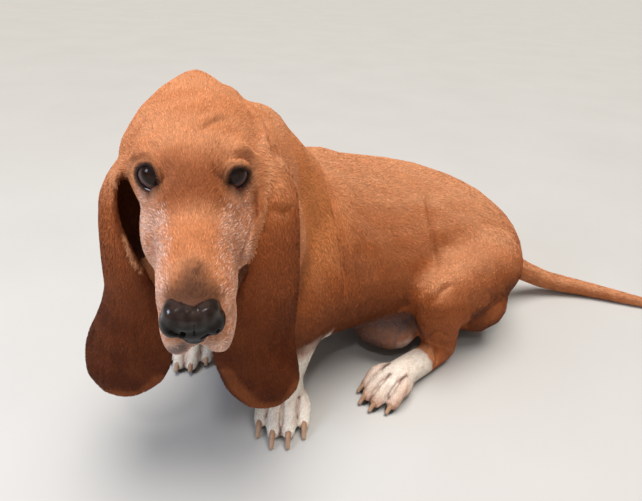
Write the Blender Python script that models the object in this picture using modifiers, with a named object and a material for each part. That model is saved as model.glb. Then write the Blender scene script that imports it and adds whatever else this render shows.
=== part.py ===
"""A basset hound at life size, sitting on one hip with its head turned aside.

Metres, +Z up. The floor is z = 0 and the face looks towards -Y. Left and right are the dog's own.
The flesh is modelled whole, as overlapping forms that are fused and smoothed, and is then parted
into head, neck, torso, legs and tail. Ears, eyes, nose and claws are pieces of their own.
"""

import math

import bmesh
import bpy
import numpy as np
from mathutils import Matrix, Vector

# Driving sizes of the dog
HEAD_LENGTH = 0.250
SKULL_HALF_WIDTH = 0.064
MUZZLE_HALF_WIDTH = 0.031
CHEST_HALF_WIDTH = 0.112
RIB_HALF_WIDTH = 0.130
EAR_THICKNESS = 0.007
EAR_COLUMNS = 19
EAR_TRIANGLES = 560
EYE_RADIUS = 0.0117
EYE_OPENING = (0.0100, 0.0098)
LID_RADIUS = 0.0018
LID_DEPTH = 0.0035
# The dish round each eye: how far out of the socket, and how much wider than the lids' opening
LID_SLOPE = [(0.0045, -0.0020), (0.0078, -0.0004), (0.0115, 0.0012), (0.0160, 0.0026), (0.0240, 0.0040)]
NOSE_HALF_WIDTH = 0.0222
NOSE_ASIDE = -0.0015
FORELEG_RADIUS = 0.0275
HIND_FOOT_RADIUS = 0.0220
HINDPAW_SIZE = 0.90
PAW_HALF_WIDTH = 0.036
TAIL_ROOT_RADIUS = 0.0225
TAIL_TIP_RADIUS = 0.008
CLAW_RADIUS = 0.0037
CLAW_LENGTH = 0.022
CLAW_BLUNTNESS = 0.50

# How finely the flesh is fused, how many triangles it keeps, and the gap between neighbours
VOXEL = 0.0026
FINE_VOXEL = 0.0013
FLESH_TRIANGLES = 4800
DETAIL_FACTOR = 0.02
FACE_SOFTENING = 4
BODY_SOFTENING = 60
LIMB_SOFTNESS = 0.3
GAP = 0.0003
MERGE_DISTANCES = (0.00003, 0.00001, 0.000003, 0.000001)

# The stance is laid out round the hips. This point of it, on the floor, is the model's origin.
STANCE_CENTRE = Vector((0.0111, 0.0205, 0))

# Pose of the head
NOSE_TIP = Vector((-0.299, -0.317, 0.311))
HEAD_TURN = math.radians(10.6)
HEAD_PITCH = math.radians(19.0)
UP = Vector((0, 0, 1))
SIDES = {"left": 1, "right": -1}


def head_frame():
    """From the head's own axes (x to its left, y back from the nose, z up) to the dog's."""
    turn = Matrix.Rotation(HEAD_TURN, 4, "Z") @ Matrix.Rotation(HEAD_PITCH, 4, "X")
    return Matrix.Translation(NOSE_TIP) @ turn


HEAD = head_frame()
HEAD_UP = HEAD.to_3x3() @ UP


def on_head(x, y, z):
    return HEAD @ Vector((x, y, z))


def bearing(degrees, rise=0.0):
    """A direction from its bearing on the floor, counted from +X, and its rise."""
    turn, lift = math.radians(degrees), math.radians(rise)
    return Vector((math.cos(lift) * math.cos(turn), math.cos(lift) * math.sin(turn), math.sin(lift)))


# Joints of the legs, and the way each paw points
FOREPAW = {"left": Vector((-0.250, -0.112, 0)), "right": Vector((-0.404, 0.004, 0))}
FOREPAW_BEARING = {"left": -90.0, "right": -92.0}
WRIST = {"left": Vector((-0.250, -0.088, 0.062)), "right": Vector((-0.390, 0.018, 0.062))}
ELBOW = {"left": Vector((-0.228, -0.052, 0.126)), "right": Vector((-0.358, 0.046, 0.128))}
SHOULDER = {"left": Vector((-0.272, -0.098, 0.205)), "right": Vector((-0.366, -0.026, 0.205))}
BLADE_TOP = {"left": Vector((-0.216, -0.004, 0.285)), "right": Vector((-0.292, 0.046, 0.285))}
HIP = {"left": Vector((0.066, 0.112, 0.112)), "right": Vector((0.058, 0.246, 0.092))}
HIP_COVER = {"left": Vector((0.024, 0.100, 0.136)), "right": Vector((0.026, 0.226, 0.124))}
# The ham bulges behind the thigh, and the haunch is what each hip sits on
HAM_HEIGHT, HAM_AHEAD, HAM_ASIDE = 0.071, 0.041, 0.032
HAUNCH_HEIGHT, HAUNCH_AHEAD, HAUNCH_INSIDE = 0.0560, 0.012, 0.018
KNEE = {"left": Vector((-0.040, 0.010, 0.136)), "right": Vector((-0.078, 0.286, 0.080))}
HOCK = {"left": Vector((-0.014, 0.026, 0.030)), "right": Vector((0.012, 0.314, 0.030))}
HINDPAW = {"left": Vector((-0.104, -0.060, 0)), "right": Vector((-0.114, 0.326, 0))}
HINDPAW_BEARING = {"left": -138.0, "right": 172.0}
OUTWARD = {"left": Vector((0.55, -0.83, 0)), "right": Vector((-0.55, 0.83, 0))}

# The trunk from the forechest to the rump: centre, half width, height above, depth below
TRUNK = [
    ((-0.348, -0.134, 0.190), 0.036, 0.040, 0.045),
    ((-0.335, -0.108, 0.190), 0.074, 0.085, 0.090),
    ((-0.305, -0.060, 0.187), 0.104, 0.128, 0.124),
    ((-0.250, 0.012, 0.182), CHEST_HALF_WIDTH, 0.150, 0.132),
    ((-0.175, 0.088, 0.162), RIB_HALF_WIDTH - 0.006, 0.147, 0.125),
    ((-0.090, 0.142, 0.145), RIB_HALF_WIDTH, 0.139, 0.120),
    ((-0.018, 0.168, 0.130), 0.122, 0.125, 0.112),
    ((0.044, 0.180, 0.110), 0.110, 0.106, 0.098),
    ((0.094, 0.184, 0.090), 0.084, 0.080, 0.084),
    ((0.120, 0.188, 0.080), 0.052, 0.052, 0.060),
]
NECK = [
    (on_head(0, 0.165, -0.005), 0.056, 0.046, 0.052),
    (on_head(0.006, 0.205, -0.018), 0.074, 0.070, 0.060),
    (Vector((-0.308, -0.076, 0.334)), 0.080, 0.080, 0.082),
    (Vector((-0.292, -0.036, 0.290)), 0.094, 0.088, 0.104),
    (Vector((-0.270, 0.004, 0.240)), 0.104, 0.094, 0.112),
    (Vector((-0.236, 0.044, 0.205)), 0.096, 0.084, 0.090),
]
TAIL = [
    (0.118, 0.196, 0.086),
    (0.168, 0.224, 0.060),
    (0.230, 0.240, 0.029),
    (0.310, 0.236, 0.0160),
    (0.400, 0.210, 0.0102),
    (0.482, 0.186, 0.0074),
]

TAIL_JOIN = Vector((0.142, 0.212, 0.074))
NECK_JOIN = Vector((-0.296, -0.048, 0.272))
NECK_WAY = Vector((-0.42, -0.52, 0.84))

# Across each paw: where the toes stand sideways, and how far they reach
TOES = [(-0.0275, 0.018), (-0.0095, 0.035), (0.0095, 0.036), (0.0275, 0.020)]

# The head in its own axes: distance back from the nose, centre height, half width, above, below
SKULL = [
    (0.006, -0.014, 0.018, 0.017, 0.024),
    (0.015, -0.013, 0.026, 0.027, 0.030),
    (0.035, -0.010, MUZZLE_HALF_WIDTH, 0.032, 0.032),
    (0.065, -0.005, MUZZLE_HALF_WIDTH, 0.034, 0.036),
    (0.090, -0.001, 0.036, 0.035, 0.040),
    (0.115, 0.005, 0.044, 0.043, 0.044),
    (0.140, 0.013, 0.056, 0.052, 0.048),
    (0.165, 0.015, SKULL_HALF_WIDTH, 0.056, 0.052),
    (0.190, 0.015, 0.066, 0.057, 0.055),
    (0.212, 0.014, 0.058, 0.057, 0.055),
    (HEAD_LENGTH - 0.020, 0.0135, 0.046, 0.055, 0.055),
    (HEAD_LENGTH, 0.012, 0.028, 0.044, 0.050),
    (HEAD_LENGTH + 0.010, 0.010, 0.012, 0.030, 0.040),
]
JAW = [
    (0.016, -0.041, 0.012, 0.010, 0.010),
    (0.045, -0.045, 0.017, 0.014, 0.012),
    (0.085, -0.042, 0.026, 0.016, 0.018),
    (0.130, -0.036, 0.036, 0.020, 0.024),
]

# Each ear down its length: crown of the fold, which way it faces, half its width along the
# fold, how far round the fold closes, and how much further its rear edge curls in, in degrees
EARS = {
    "left": [
        ((-0.288, -0.160, 0.404), -14, 0.016, 30, 0),
        ((-0.260, -0.167, 0.392), -14, 0.019, 32, 6),
        ((-0.241, -0.177, 0.367), -15, 0.028, 50, 26),
        ((-0.238, -0.184, 0.340), -22, 0.032, 54, 36),
        ((-0.240, -0.192, 0.304), -34, 0.040, 62, 34),
        ((-0.249, -0.200, 0.258), -52, 0.047, 66, 16),
        ((-0.268, -0.210, 0.200), -70, 0.051, 52, 0),
        ((-0.264, -0.212, 0.150), -80, 0.046, 42, 0),
        ((-0.263, -0.209, 0.128), -82, 0.034, 34, 0),
        ((-0.263, -0.207, 0.115), -82, 0.015, 30, 0),
    ],
    "right": [
        ((-0.354, -0.172, 0.404), -172, 0.016, 28, 0),
        ((-0.382, -0.180, 0.392), -172, 0.020, 30, 16),
        ((-0.4035, -0.189, 0.367), -168, 0.028, 60, 52),
        ((-0.4105, -0.196, 0.337), -158, 0.036, 66, 62),
        ((-0.409, -0.205, 0.296), -140, 0.047, 66, 56),
        ((-0.408, -0.206, 0.252), -130, 0.056, 64, 66),
        ((-0.410, -0.214, 0.200), -114, 0.060, 52, 46),
        ((-0.418, -0.215, 0.158), -104, 0.054, 42, 0),
        ((-0.421, -0.212, 0.138), -100, 0.038, 34, 0),
        ((-0.421, -0.210, 0.126), -100, 0.017, 30, 0),
    ],
}

FLESH_COLOUR = (0.42, 0.145, 0.045)
EAR_COLOUR = (0.24, 0.065, 0.024)
NOSE_COLOUR = (0.020, 0.014, 0.013)
EYE_COLOUR = (0.060, 0.022, 0.010)
CLAW_COLOUR = (0.40, 0.25, 0.16)


# Scene helpers
def clear_scene():
    for obj in list(bpy.data.objects):
        bpy.data.objects.remove(obj)


def new_collection(name):
    collection = bpy.data.collections.new(name)
    bpy.context.scene.collection.children.link(collection)
    return collection


def material(name, colour, roughness):
    made = bpy.data.materials.new(name)
    made.use_nodes = True
    shader = made.node_tree.nodes["Principled BSDF"]
    shader.inputs["Base Color"].default_value = (*colour, 1)
    shader.inputs["Roughness"].default_value = roughness
    made.diffuse_color = (*colour, 1)
    return made


def object_from(name, mesh, collection):
    obj = bpy.data.objects.new(name, mesh)
    collection.objects.link(obj)
    return obj


def evaluated_mesh(obj):
    """The object's mesh with its modifiers applied, in the dog's axes."""
    graph = bpy.context.evaluated_depsgraph_get()
    mesh = bpy.data.meshes.new_from_object(obj.evaluated_get(graph), depsgraph=graph)
    mesh.transform(obj.matrix_world)
    return mesh


def baked(obj):
    """Applies the object's modifiers, and returns it."""
    mesh = evaluated_mesh(obj)
    obj.modifiers.clear()
    obj.data = mesh
    obj.matrix_world = Matrix.Identity(4)
    return obj


def copy_of(obj, name, collection):
    return object_from(name, obj.data.copy(), collection)


def swollen(obj, name, amount, collection):
    """A copy of a closed piece with every point moved outwards by amount."""
    made = copy_of(obj, name, collection)
    mesh = made.data
    normals = [v.normal.copy() for v in mesh.vertices]
    for vertex, normal in zip(mesh.vertices, normals):
        vertex.co += normal * amount
    return made


def bodies_of(shape):
    """The points of each separate surface in a shape."""
    unseen = set(shape.verts)
    bodies = []
    while unseen:
        start = unseen.pop()
        body, edge = {start}, [start]
        while edge:
            for link in edge.pop().link_edges:
                for vertex in link.verts:
                    if vertex in unseen:
                        unseen.remove(vertex)
                        body.add(vertex)
                        edge.append(vertex)
        bodies.append(body)
    return bodies


def largest_body(mesh):
    """Keeps only the closed surface with the most points, and joins points that all but coincide."""
    for distance in MERGE_DISTANCES:
        shape = bmesh.new()
        shape.from_mesh(mesh)
        bmesh.ops.remove_doubles(shape, verts=shape.verts, dist=distance)
        bmesh.ops.dissolve_degenerate(shape, edges=shape.edges, dist=distance)
        keep = max(bodies_of(shape), key=len)
        bmesh.ops.delete(shape, geom=[v for v in shape.verts if v not in keep], context="VERTS")
        bmesh.ops.triangulate(shape, faces=shape.faces)
        if all(len(edge.link_faces) == 2 for edge in shape.edges):
            break
    shape.to_mesh(mesh)
    shape.free()


def combine(obj, other, operation):
    """Applies one Boolean between two closed pieces."""
    cut = obj.modifiers.new(operation.lower(), "BOOLEAN")
    cut.operation = operation
    cut.object = other
    cut.solver = "EXACT"
    baked(obj)
    largest_body(obj.data)
    return obj


# Forms
def smooth_between(values, steps):
    """A Catmull-Rom curve through rows of numbers, with steps points for each stretch."""
    rows = np.array(values, float)
    padded = np.vstack([2 * rows[0] - rows[1], rows, 2 * rows[-1] - rows[-2]])
    made = []
    for i in range(1, len(padded) - 2):
        a, b, c, d = padded[i - 1 : i + 3]
        for t in np.arange(steps) / steps:
            bend = (2 * a - 5 * b + 4 * c - d) * t**2 + (3 * b - a - 3 * c + d) * t**3
            made.append(0.5 * (2 * b + (c - a) * t + bend))
    made.append(rows[-1])
    return np.array(made)


def mesh_from(name, shape):
    mesh = bpy.data.meshes.new(name)
    shape.to_mesh(mesh)
    shape.free()
    return mesh


def rings_to_mesh(name, rings):
    """A closed mesh through rings of points, each with the same count, capped at both ends."""
    shape = bmesh.new()
    loops = [[shape.verts.new(point) for point in ring] for ring in rings]
    count = len(loops[0])
    for ring, following in zip(loops, loops[1:]):
        for k in range(count):
            after = (k + 1) % count
            shape.faces.new((ring[k], ring[after], following[after], following[k]))
    shape.faces.new(loops[0])
    shape.faces.new(loops[-1])
    bmesh.ops.recalc_face_normals(shape, faces=shape.faces)
    return mesh_from(name, shape)


def loft(name, stations, collection, up=UP, steps=4, around=24):
    """A form through ovals. A station is (centre, half width, height above, depth below)."""
    rows = smooth_between([(*c, w, a, b) for c, w, a, b in stations], steps)
    centres = [Vector(row[:3]) for row in rows]
    rings = []
    for i, row in enumerate(rows):
        ahead = centres[min(i + 1, len(rows) - 1)] - centres[max(i - 1, 0)]
        side = ahead.cross(up).normalized()
        top = side.cross(ahead).normalized()
        ring = []
        for k in range(around):
            angle = 2 * math.pi * k / around
            height = row[4] if math.sin(angle) > 0 else row[5]
            offset = side * (row[3] * math.cos(angle)) + top * (height * math.sin(angle))
            ring.append(centres[i] + offset)
        rings.append(ring)
    return object_from(name, rings_to_mesh(name, rings), collection)


def ball(name, centre, radii, collection, frame=None, segments=24):
    """An ellipsoid, with its axes along those of frame where one is given."""
    shape = bmesh.new()
    bmesh.ops.create_uvsphere(shape, u_segments=segments, v_segments=segments // 2, radius=1)
    mesh = mesh_from(name, shape)
    turn = frame.to_3x3().to_4x4() if frame else Matrix.Identity(4)
    mesh.transform(Matrix.Translation(centre) @ turn @ Matrix.Diagonal((*radii, 1)))
    return object_from(name, mesh, collection)


def block(name, centre, half_sizes, collection, frame=None):
    """A box with its axes along those of frame where one is given."""
    shape = bmesh.new()
    bmesh.ops.create_cube(shape, size=2)
    mesh = mesh_from(name, shape)
    turn = frame.to_3x3().to_4x4() if frame else Matrix.Identity(4)
    mesh.transform(Matrix.Translation(centre) @ turn @ Matrix.Diagonal((*half_sizes, 1)))
    return object_from(name, mesh, collection)


def muscle(name, start, end, wide, thick, collection, reach=1.0, facing=UP, segments=24):
    """An ellipsoid from start to end, thick along facing and wide across it."""
    axis = (end - start).normalized()
    out = (facing - axis * facing.dot(axis)).normalized()
    frame = Matrix((out.cross(axis), out, axis)).transposed()
    half = (end - start).length / 2 * reach
    return ball(name, (start + end) / 2, (wide, thick, half), collection, frame, segments)


def limb(name, points, radii, collection, steps=4, around=14, caps=(35, 65, 84)):
    """A round tapered form along points. caps are the rings of its rounded ends, in degrees."""
    rows = smooth_between([(*p, r) for p, r in zip(points, radii)], steps)
    centres = [Vector(row[:3]) for row in rows]
    reach = list(rows[:, 3])
    for end in (0, -1):
        inner = centres[1] if end == 0 else centres[-2]
        out = (centres[end] - inner).normalized()
        tip, size = centres[end], reach[end]
        for angle in caps:
            turn = math.radians(angle)
            point, radius = tip + out * size * math.sin(turn), size * math.cos(turn)
            place = 0 if end == 0 else len(centres)
            centres.insert(place, point)
            reach.insert(place, radius)
    rings = []
    side = (centres[1] - centres[0]).orthogonal().normalized()
    for i, centre in enumerate(centres):
        ahead = (centres[min(i + 1, len(centres) - 1)] - centres[max(i - 1, 0)]).normalized()
        side = (side - ahead * side.dot(ahead)).normalized()
        across = ahead.cross(side)
        angles = [2 * math.pi * k / around for k in range(around)]
        rings.append([centre + (side * math.cos(a) + across * math.sin(a)) * reach[i] for a in angles])
    return object_from(name, rings_to_mesh(name, rings), collection)


# Flesh
def trunk(clay):
    loft("trunk", TRUNK, clay, around=32)
    loft("neck", NECK, clay, up=Vector((0, -0.6, 0.8)), around=28)
    keel = (FOREPAW["left"] + FOREPAW["right"]) / 2 + Vector((0.030, 0.020, 0.105))
    ball("keel", keel, (0.062, 0.090, 0.052), clay)
    ball("throat_skin", on_head(0, 0.150, -0.075), (0.036, 0.060, 0.050), clay, HEAD)
    ball("nape_skin", Vector((-0.291, -0.072, 0.368)), (0.045, 0.058, 0.049), clay)
    ball("neck_skin", Vector((-0.290, -0.110, 0.270)), (0.070, 0.060, 0.090), clay)
    ball("withers", Vector((-0.225, 0.050, 0.290)), (0.060, 0.070, 0.040), clay)
    ball("groin_skin", Vector((-0.052, 0.066, 0.062)), (0.042, 0.040, 0.036), clay)
    ball("belly_skin", Vector((-0.104, 0.028, 0.051)), (0.052, 0.036, 0.029), clay)
    flank = [KNEE["left"] + Vector((0.006, 0.020, 0.020)), Vector((-0.066, 0.060, 0.110))]
    limb("flank_web", flank, (0.030, 0.040), clay)


def paw_frame(paw, degrees):
    """The paw's own axes: x across, y forward, z up."""
    forward = bearing(degrees)
    frame = Matrix((forward.cross(UP), forward, UP)).transposed().to_4x4()
    frame.translation = paw
    return frame


def toes(name, frame, size, clay):
    pad = Vector((0, -0.014 * size, 0.019))
    half = PAW_HALF_WIDTH * size
    ball(f"{name}_pad", frame @ pad, (half * 0.96, half * 0.92, 0.022), clay, frame)
    for i, (across, reach) in enumerate(TOES):
        root = frame @ Vector((across * 0.62 * size, -0.016 * size, 0.032))
        knuckle = frame @ Vector((across * size, (reach - 0.019) * size, 0.0275))
        tip = frame @ Vector((across * 1.05 * size, reach * size, 0.0105))
        radii = [r * size for r in (0.0105, 0.0102, 0.0098)]
        limb(f"{name}_toe_{i}", [root, knuckle, tip], radii, clay)


def foreleg(side, clay):
    out = OUTWARD[side]
    paw, wrist, elbow, shoulder = FOREPAW[side], WRIST[side], ELBOW[side], SHOULDER[side]
    muscle(f"blade_{side}", BLADE_TOP[side], shoulder, 0.054, 0.036, clay, 1.3, out)
    muscle(f"upper_arm_{side}", shoulder, elbow, 0.046, 0.037, clay, 1.32, out)
    ankle = paw + Vector((0, 0, 0.034)) - bearing(FOREPAW_BEARING[side]) * 0.014
    radii = (0.034, 0.033, FORELEG_RADIUS, FORELEG_RADIUS)
    limb(f"forearm_{side}", [elbow + Vector((0, 0.004, 0.030)), elbow, wrist, ankle], radii, clay)
    toes(f"forepaw_{side}", paw_frame(paw, FOREPAW_BEARING[side]), 1.0, clay)


def hind_leg(side, clay):
    out = OUTWARD[side]
    hip, knee, hock, paw = HIP[side], KNEE[side], HOCK[side], HINDPAW[side]
    muscle(f"thigh_{side}", hip, knee, 0.070, 0.050, clay, 1.45, out)
    ball(f"hip_cover_{side}", HIP_COVER[side], (0.094, 0.062, 0.072), clay)
    haunch = Vector((hip.x - HAUNCH_AHEAD, hip.y, HAUNCH_HEIGHT)) - out * HAUNCH_INSIDE
    ball(f"haunch_{side}", haunch, (0.060, 0.054, 0.0605), clay)
    ham = Vector((hip.x - HAM_AHEAD, hip.y, HAM_HEIGHT)) + out * HAM_ASIDE
    ball(f"ham_{side}", ham, (0.060, 0.048, 0.052), clay)
    limb(f"shank_{side}", [knee, (knee + hock) / 2, hock], (0.038, 0.034, 0.026), clay)
    ankle = paw + Vector((0, 0, 0.026)) - bearing(HINDPAW_BEARING[side]) * 0.026
    radii = (HIND_FOOT_RADIUS + 0.001, HIND_FOOT_RADIUS, HIND_FOOT_RADIUS)
    limb(f"metatarsus_{side}", [hock - UP * 0.008, (hock + ankle) / 2 - UP * 0.006, ankle], radii, clay)
    toes(f"hindpaw_{side}", paw_frame(paw, HINDPAW_BEARING[side]), HINDPAW_SIZE, clay)


def tail(clay):
    count = len(TAIL) - 1
    drop = TAIL_TIP_RADIUS - TAIL_ROOT_RADIUS
    radii = [TAIL_ROOT_RADIUS + drop * (i / count) ** 1.6 for i in range(count + 1)]
    limb("tail_form", [Vector(p) for p in TAIL], radii, clay)


def eye_frame(sign):
    """The eye's axes: x across the lids, y out of the socket, z up. The origin is its centre."""
    out = (HEAD.to_3x3() @ Vector((sign * 0.40, -0.88, 0.26))).normalized()
    across = out.cross(HEAD_UP).normalized()
    frame = Matrix((across, out, across.cross(out))).transposed().to_4x4()
    frame.translation = on_head(sign * 0.0320, 0.1260, 0.0375)
    return frame


def head(clay):
    stations = [(on_head(0, y, z), w, a, b) for y, z, w, a, b in SKULL]
    loft("skull", stations, clay, up=HEAD_UP, around=32)
    loft("jaw", [(on_head(0, y, z), w, a, b) for y, z, w, a, b in JAW], clay, up=HEAD_UP)
    ball("occiput", on_head(0, HEAD_LENGTH - 0.014, 0.047), (0.022, 0.026, 0.020), clay, HEAD)
    ball("nape_fold", on_head(0.022, HEAD_LENGTH - 0.002, 0.024), (0.026, 0.032, 0.0225), clay, HEAD)
    for sign in SIDES.values():
        ball(f"lids_{sign}", eye_frame(sign).translation, (EYE_RADIUS + LID_DEPTH,) * 3, clay)
        ball(f"brow_{sign}", on_head(sign * 0.031, 0.143, 0.0500), (0.017, 0.012, 0.0115), clay, HEAD)
        base = on_head(sign * 0.055, 0.178, 0.0220)
        ball(f"ear_base_{sign}", base, (0.014, 0.024, 0.018), clay, HEAD)
        ball(f"cheek_{sign}", on_head(sign * 0.033, 0.119, -0.018), (0.018, 0.042, 0.036), clay, HEAD)
        ball(f"flew_{sign}", on_head(sign * 0.0185, 0.036, -0.033), (0.0130, 0.036, 0.028), clay, HEAD)
        ball(f"lip_{sign}", on_head(sign * 0.0155, 0.017, -0.040), (0.0128, 0.0135, 0.0195), clay, HEAD)
        corner = on_head(sign * 0.0235 - 0.002, 0.072, -0.036)
        ball(f"lip_corner_{sign}", corner, (0.012, 0.032, 0.025), clay, HEAD)


def fused(name, clay, voxel, rounds, collection):
    """The clay's forms as one smooth closed mesh. The clay is used up."""
    shape = bmesh.new()
    for obj in clay.objects:
        shape.from_mesh(obj.data)
    whole = object_from(name, mesh_from(name, shape), collection)
    for obj in list(clay.objects):
        bpy.data.objects.remove(obj)
    remesh = whole.modifiers.new("fuse", "REMESH")
    remesh.mode = "VOXEL"
    remesh.voxel_size = voxel
    soften = whole.modifiers.new("soften", "SMOOTH")
    soften.factor = 0.5
    soften.iterations = rounds
    return baked(whole)


def softened(obj, rounds, amount):
    """Smooths a piece by rounds, more or less at each point by amount, from 0 to 1."""
    group = obj.vertex_groups.new(name="soft")
    for vertex in obj.data.vertices:
        group.add([vertex.index], amount(vertex.co), "REPLACE")
    soften = obj.modifiers.new("soften", "SMOOTH")
    soften.factor = 0.5
    soften.iterations = rounds
    soften.vertex_group = group.name
    baked(obj)
    obj.vertex_groups.clear()
    return obj


def thinned(obj, triangles, detail=None):
    """Keeps about this many triangles. detail gives a weight from 0 to 1 for a point."""
    reduce = obj.modifiers.new("thin", "DECIMATE")
    if detail:
        group = obj.vertex_groups.new(name="detail")
        for vertex in obj.data.vertices:
            group.add([vertex.index], 1.0 - 0.9 * detail(vertex.co), "REPLACE")
        reduce.vertex_group = group.name
        reduce.vertex_group_factor = DETAIL_FACTOR
    obj.data.calc_loop_triangles()
    reduce.ratio = triangles / len(obj.data.loop_triangles)
    reduce.use_collapse_triangulate = True
    baked(obj)
    obj.vertex_groups.clear()
    return obj


def fineness(point):
    """Where the flesh keeps small triangles: the face most, then the paws."""
    near = (point - on_head(0, 0.06, 0)).length
    face = max(0.0, min(1.0, (0.17 - near) / 0.06))
    paws = min((point - paw).length for paw in [*FOREPAW.values(), *HINDPAW.values()])
    foot = max(0.0, min(1.0, (0.085 - paws) / 0.03))
    return max(face, 0.75 * foot)


def softness(point):
    """How far the flesh is smoothed: the trunk most, the legs and tail less, the face not at all."""
    near = min((point - Vector(row[0])).length for row in TRUNK)
    trunk = max(LIMB_SOFTNESS, min(1.0, (0.185 - near) / 0.040))
    root = max(LIMB_SOFTNESS, 1.0 - max(0.0, point.x - TAIL[0][0]) / 0.030)
    return (1.0 - fineness(point)) * min(trunk, root)


def ear(side, clay, collection):
    """The flap of one ear: an open fold, thickened, with a root that sinks into the head."""
    rows = smooth_between([(*row[0], *row[1:]) for row in EARS[side]], 4)
    shape = bmesh.new()
    grid = []
    for row in rows:
        crown, facing = Vector(row[:3]), bearing(row[3])
        across = Vector((-facing.y, facing.x, 0))
        fold, tuck = math.radians(row[5]), math.radians(row[6])
        radius = row[4] / fold
        line = []
        ends = (-fold - tuck, fold) if side == "right" else (-fold, fold + tuck)
        for turn in np.linspace(*ends, EAR_COLUMNS):
            back = radius * (1 - math.cos(turn))
            line.append(shape.verts.new(crown + across * radius * math.sin(turn) - facing * back))
        grid.append(line)
    for upper, lower in zip(grid, grid[1:]):
        for k in range(len(upper) - 1):
            shape.faces.new((upper[k], upper[k + 1], lower[k + 1], lower[k]))
    bmesh.ops.recalc_face_normals(shape, faces=shape.faces)
    flap = object_from(f"flap_{side}", mesh_from("flap", shape), clay)
    thick = flap.modifiers.new("thickness", "SOLIDIFY")
    thick.thickness = EAR_THICKNESS
    thick.offset = 0
    baked(flap)
    sign = SIDES[side]
    inner, outer = on_head(sign * 0.046, 0.166, 0.018), on_head(sign * 0.056, 0.170, 0.014)
    limb(f"ear_root_{side}", [inner, outer, Vector(EARS[side][2][0])], (0.016, 0.014, 0.003), clay)
    crown, facing = Vector(EARS[side][1][0]), bearing(EARS[side][1][1])
    axes = Matrix((facing, UP.cross(facing), UP)).transposed().to_4x4()
    ball(f"ear_knuckle_{side}", crown - facing * 0.007, (0.010, 0.023, 0.014), clay, axes)
    return thinned(fused(f"ear_{side}", clay, 0.0020, 4, collection), EAR_TRIANGLES)


def eyeball(name, sign, grow, collection):
    frame = eye_frame(sign)
    radius = EYE_RADIUS + grow
    return ball(name, frame.translation, (radius,) * 3, collection, frame, segments=16)


def eyelid_rim(name, sign, collection):
    """The wet edge of both lids, round the almond opening, with the lower lid hanging a little."""
    frame = eye_frame(sign)
    wide, high = EYE_OPENING
    seat = EYE_RADIUS + LID_RADIUS * 0.45
    shape = []
    for k in range(16):
        angle = 2 * math.pi * k / 16
        across, lift = wide * math.cos(angle), high * math.sin(angle)
        if lift < 0:
            lift *= 1.12
        out = math.sqrt(max(0, seat**2 - across**2 - lift**2))
        shape.append(frame @ Vector((across, out, lift)))
    return ring_tube(name, shape, LID_RADIUS, collection)


def ring_tube(name, points, radius, collection, around=5):
    """A closed ring of round section through points."""
    middle = sum(points, Vector()) / len(points)
    shape = bmesh.new()
    loops = []
    for i, point in enumerate(points):
        ahead = (points[(i + 1) % len(points)] - points[i - 1]).normalized()
        out = point - middle
        out = (out - ahead * out.dot(ahead)).normalized()
        side = ahead.cross(out)
        angles = [2 * math.pi * k / around for k in range(around)]
        offsets = [(out * math.cos(a) + side * math.sin(a)) * radius for a in angles]
        loops.append([shape.verts.new(point + offset) for offset in offsets])
    for i, ring in enumerate(loops):
        following = loops[(i + 1) % len(loops)]
        for k in range(around):
            after = (k + 1) % around
            shape.faces.new((ring[k], ring[after], following[after], following[k]))
    bmesh.ops.recalc_face_normals(shape, faces=shape.faces)
    return object_from(name, mesh_from(name, shape), collection)


def set_eyes(skull, cutters, collection):
    """Opens the lids, rims them, and sets an eyeball in each socket."""
    wide, high = EYE_OPENING
    for side, sign in SIDES.items():
        frame = eye_frame(sign)
        socket = eyeball(f"socket_{side}", sign, GAP, cutters)
        stations = []
        for out, more in LID_SLOPE:
            middle = frame @ Vector((0, out, -high * 0.06))
            stations.append((middle, wide + more, high + more * 0.7, high + more))
        opening = loft(f"opening_{side}", stations, cutters, up=frame.to_3x3() @ UP, steps=2, around=16)
        combine(skull, opening, "DIFFERENCE")
        combine(skull, eyelid_rim(f"rim_{side}", sign, cutters), "UNION")
        combine(skull, socket, "DIFFERENCE")
        eye = eyeball(f"eye_{side}", sign, 0.0, collection)
        eye.data.materials.append(bpy.data.materials["eye"])


def nose(clay, cutters, collection):
    """The nose leather, with its wings and a pit for each nostril."""
    wide = NOSE_HALF_WIDTH
    ball("nose_top", on_head(NOSE_ASIDE, 0.0110, 0.0015), (wide * 0.90, 0.0135, 0.0125), clay, HEAD)
    ball("nose_tip", on_head(NOSE_ASIDE, 0.0075, -0.0090), (wide * 0.62, 0.0090, 0.0135), clay, HEAD)
    ball("nose_foot", on_head(NOSE_ASIDE, 0.0095, -0.0220), (wide * 0.30, 0.0070, 0.0080), clay, HEAD)
    for sign in SIDES.values():
        wing = on_head(sign * wide * 0.62 + NOSE_ASIDE, 0.0110, -0.0100)
        ball(f"nose_wing_{sign}", wing, (wide * 0.40, 0.0120, 0.0120), clay, HEAD)
    pad = thinned(fused("nose", clay, FINE_VOXEL, 3, collection), 240)
    largest_body(pad.data)
    skull_cutter = swollen(pad, "nose_seat", GAP, cutters)
    for sign in SIDES.values():
        start = on_head(sign * wide * 0.46 + NOSE_ASIDE, -0.0025, -0.0085)
        bend = on_head(sign * wide * 0.56 + NOSE_ASIDE, 0.0045, -0.0085)
        end = on_head(sign * wide * 0.92 + NOSE_ASIDE, 0.0065, -0.0145)
        radii = (0.0042, 0.0034, 0.0016)
        pit = limb(f"nostril_{sign}", [start, bend, end], radii, cutters, 2, 8, (50,))
        combine(pad, pit, "DIFFERENCE")
    pad.data.materials.append(bpy.data.materials["nose"])
    return pad, skull_cutter


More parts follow.
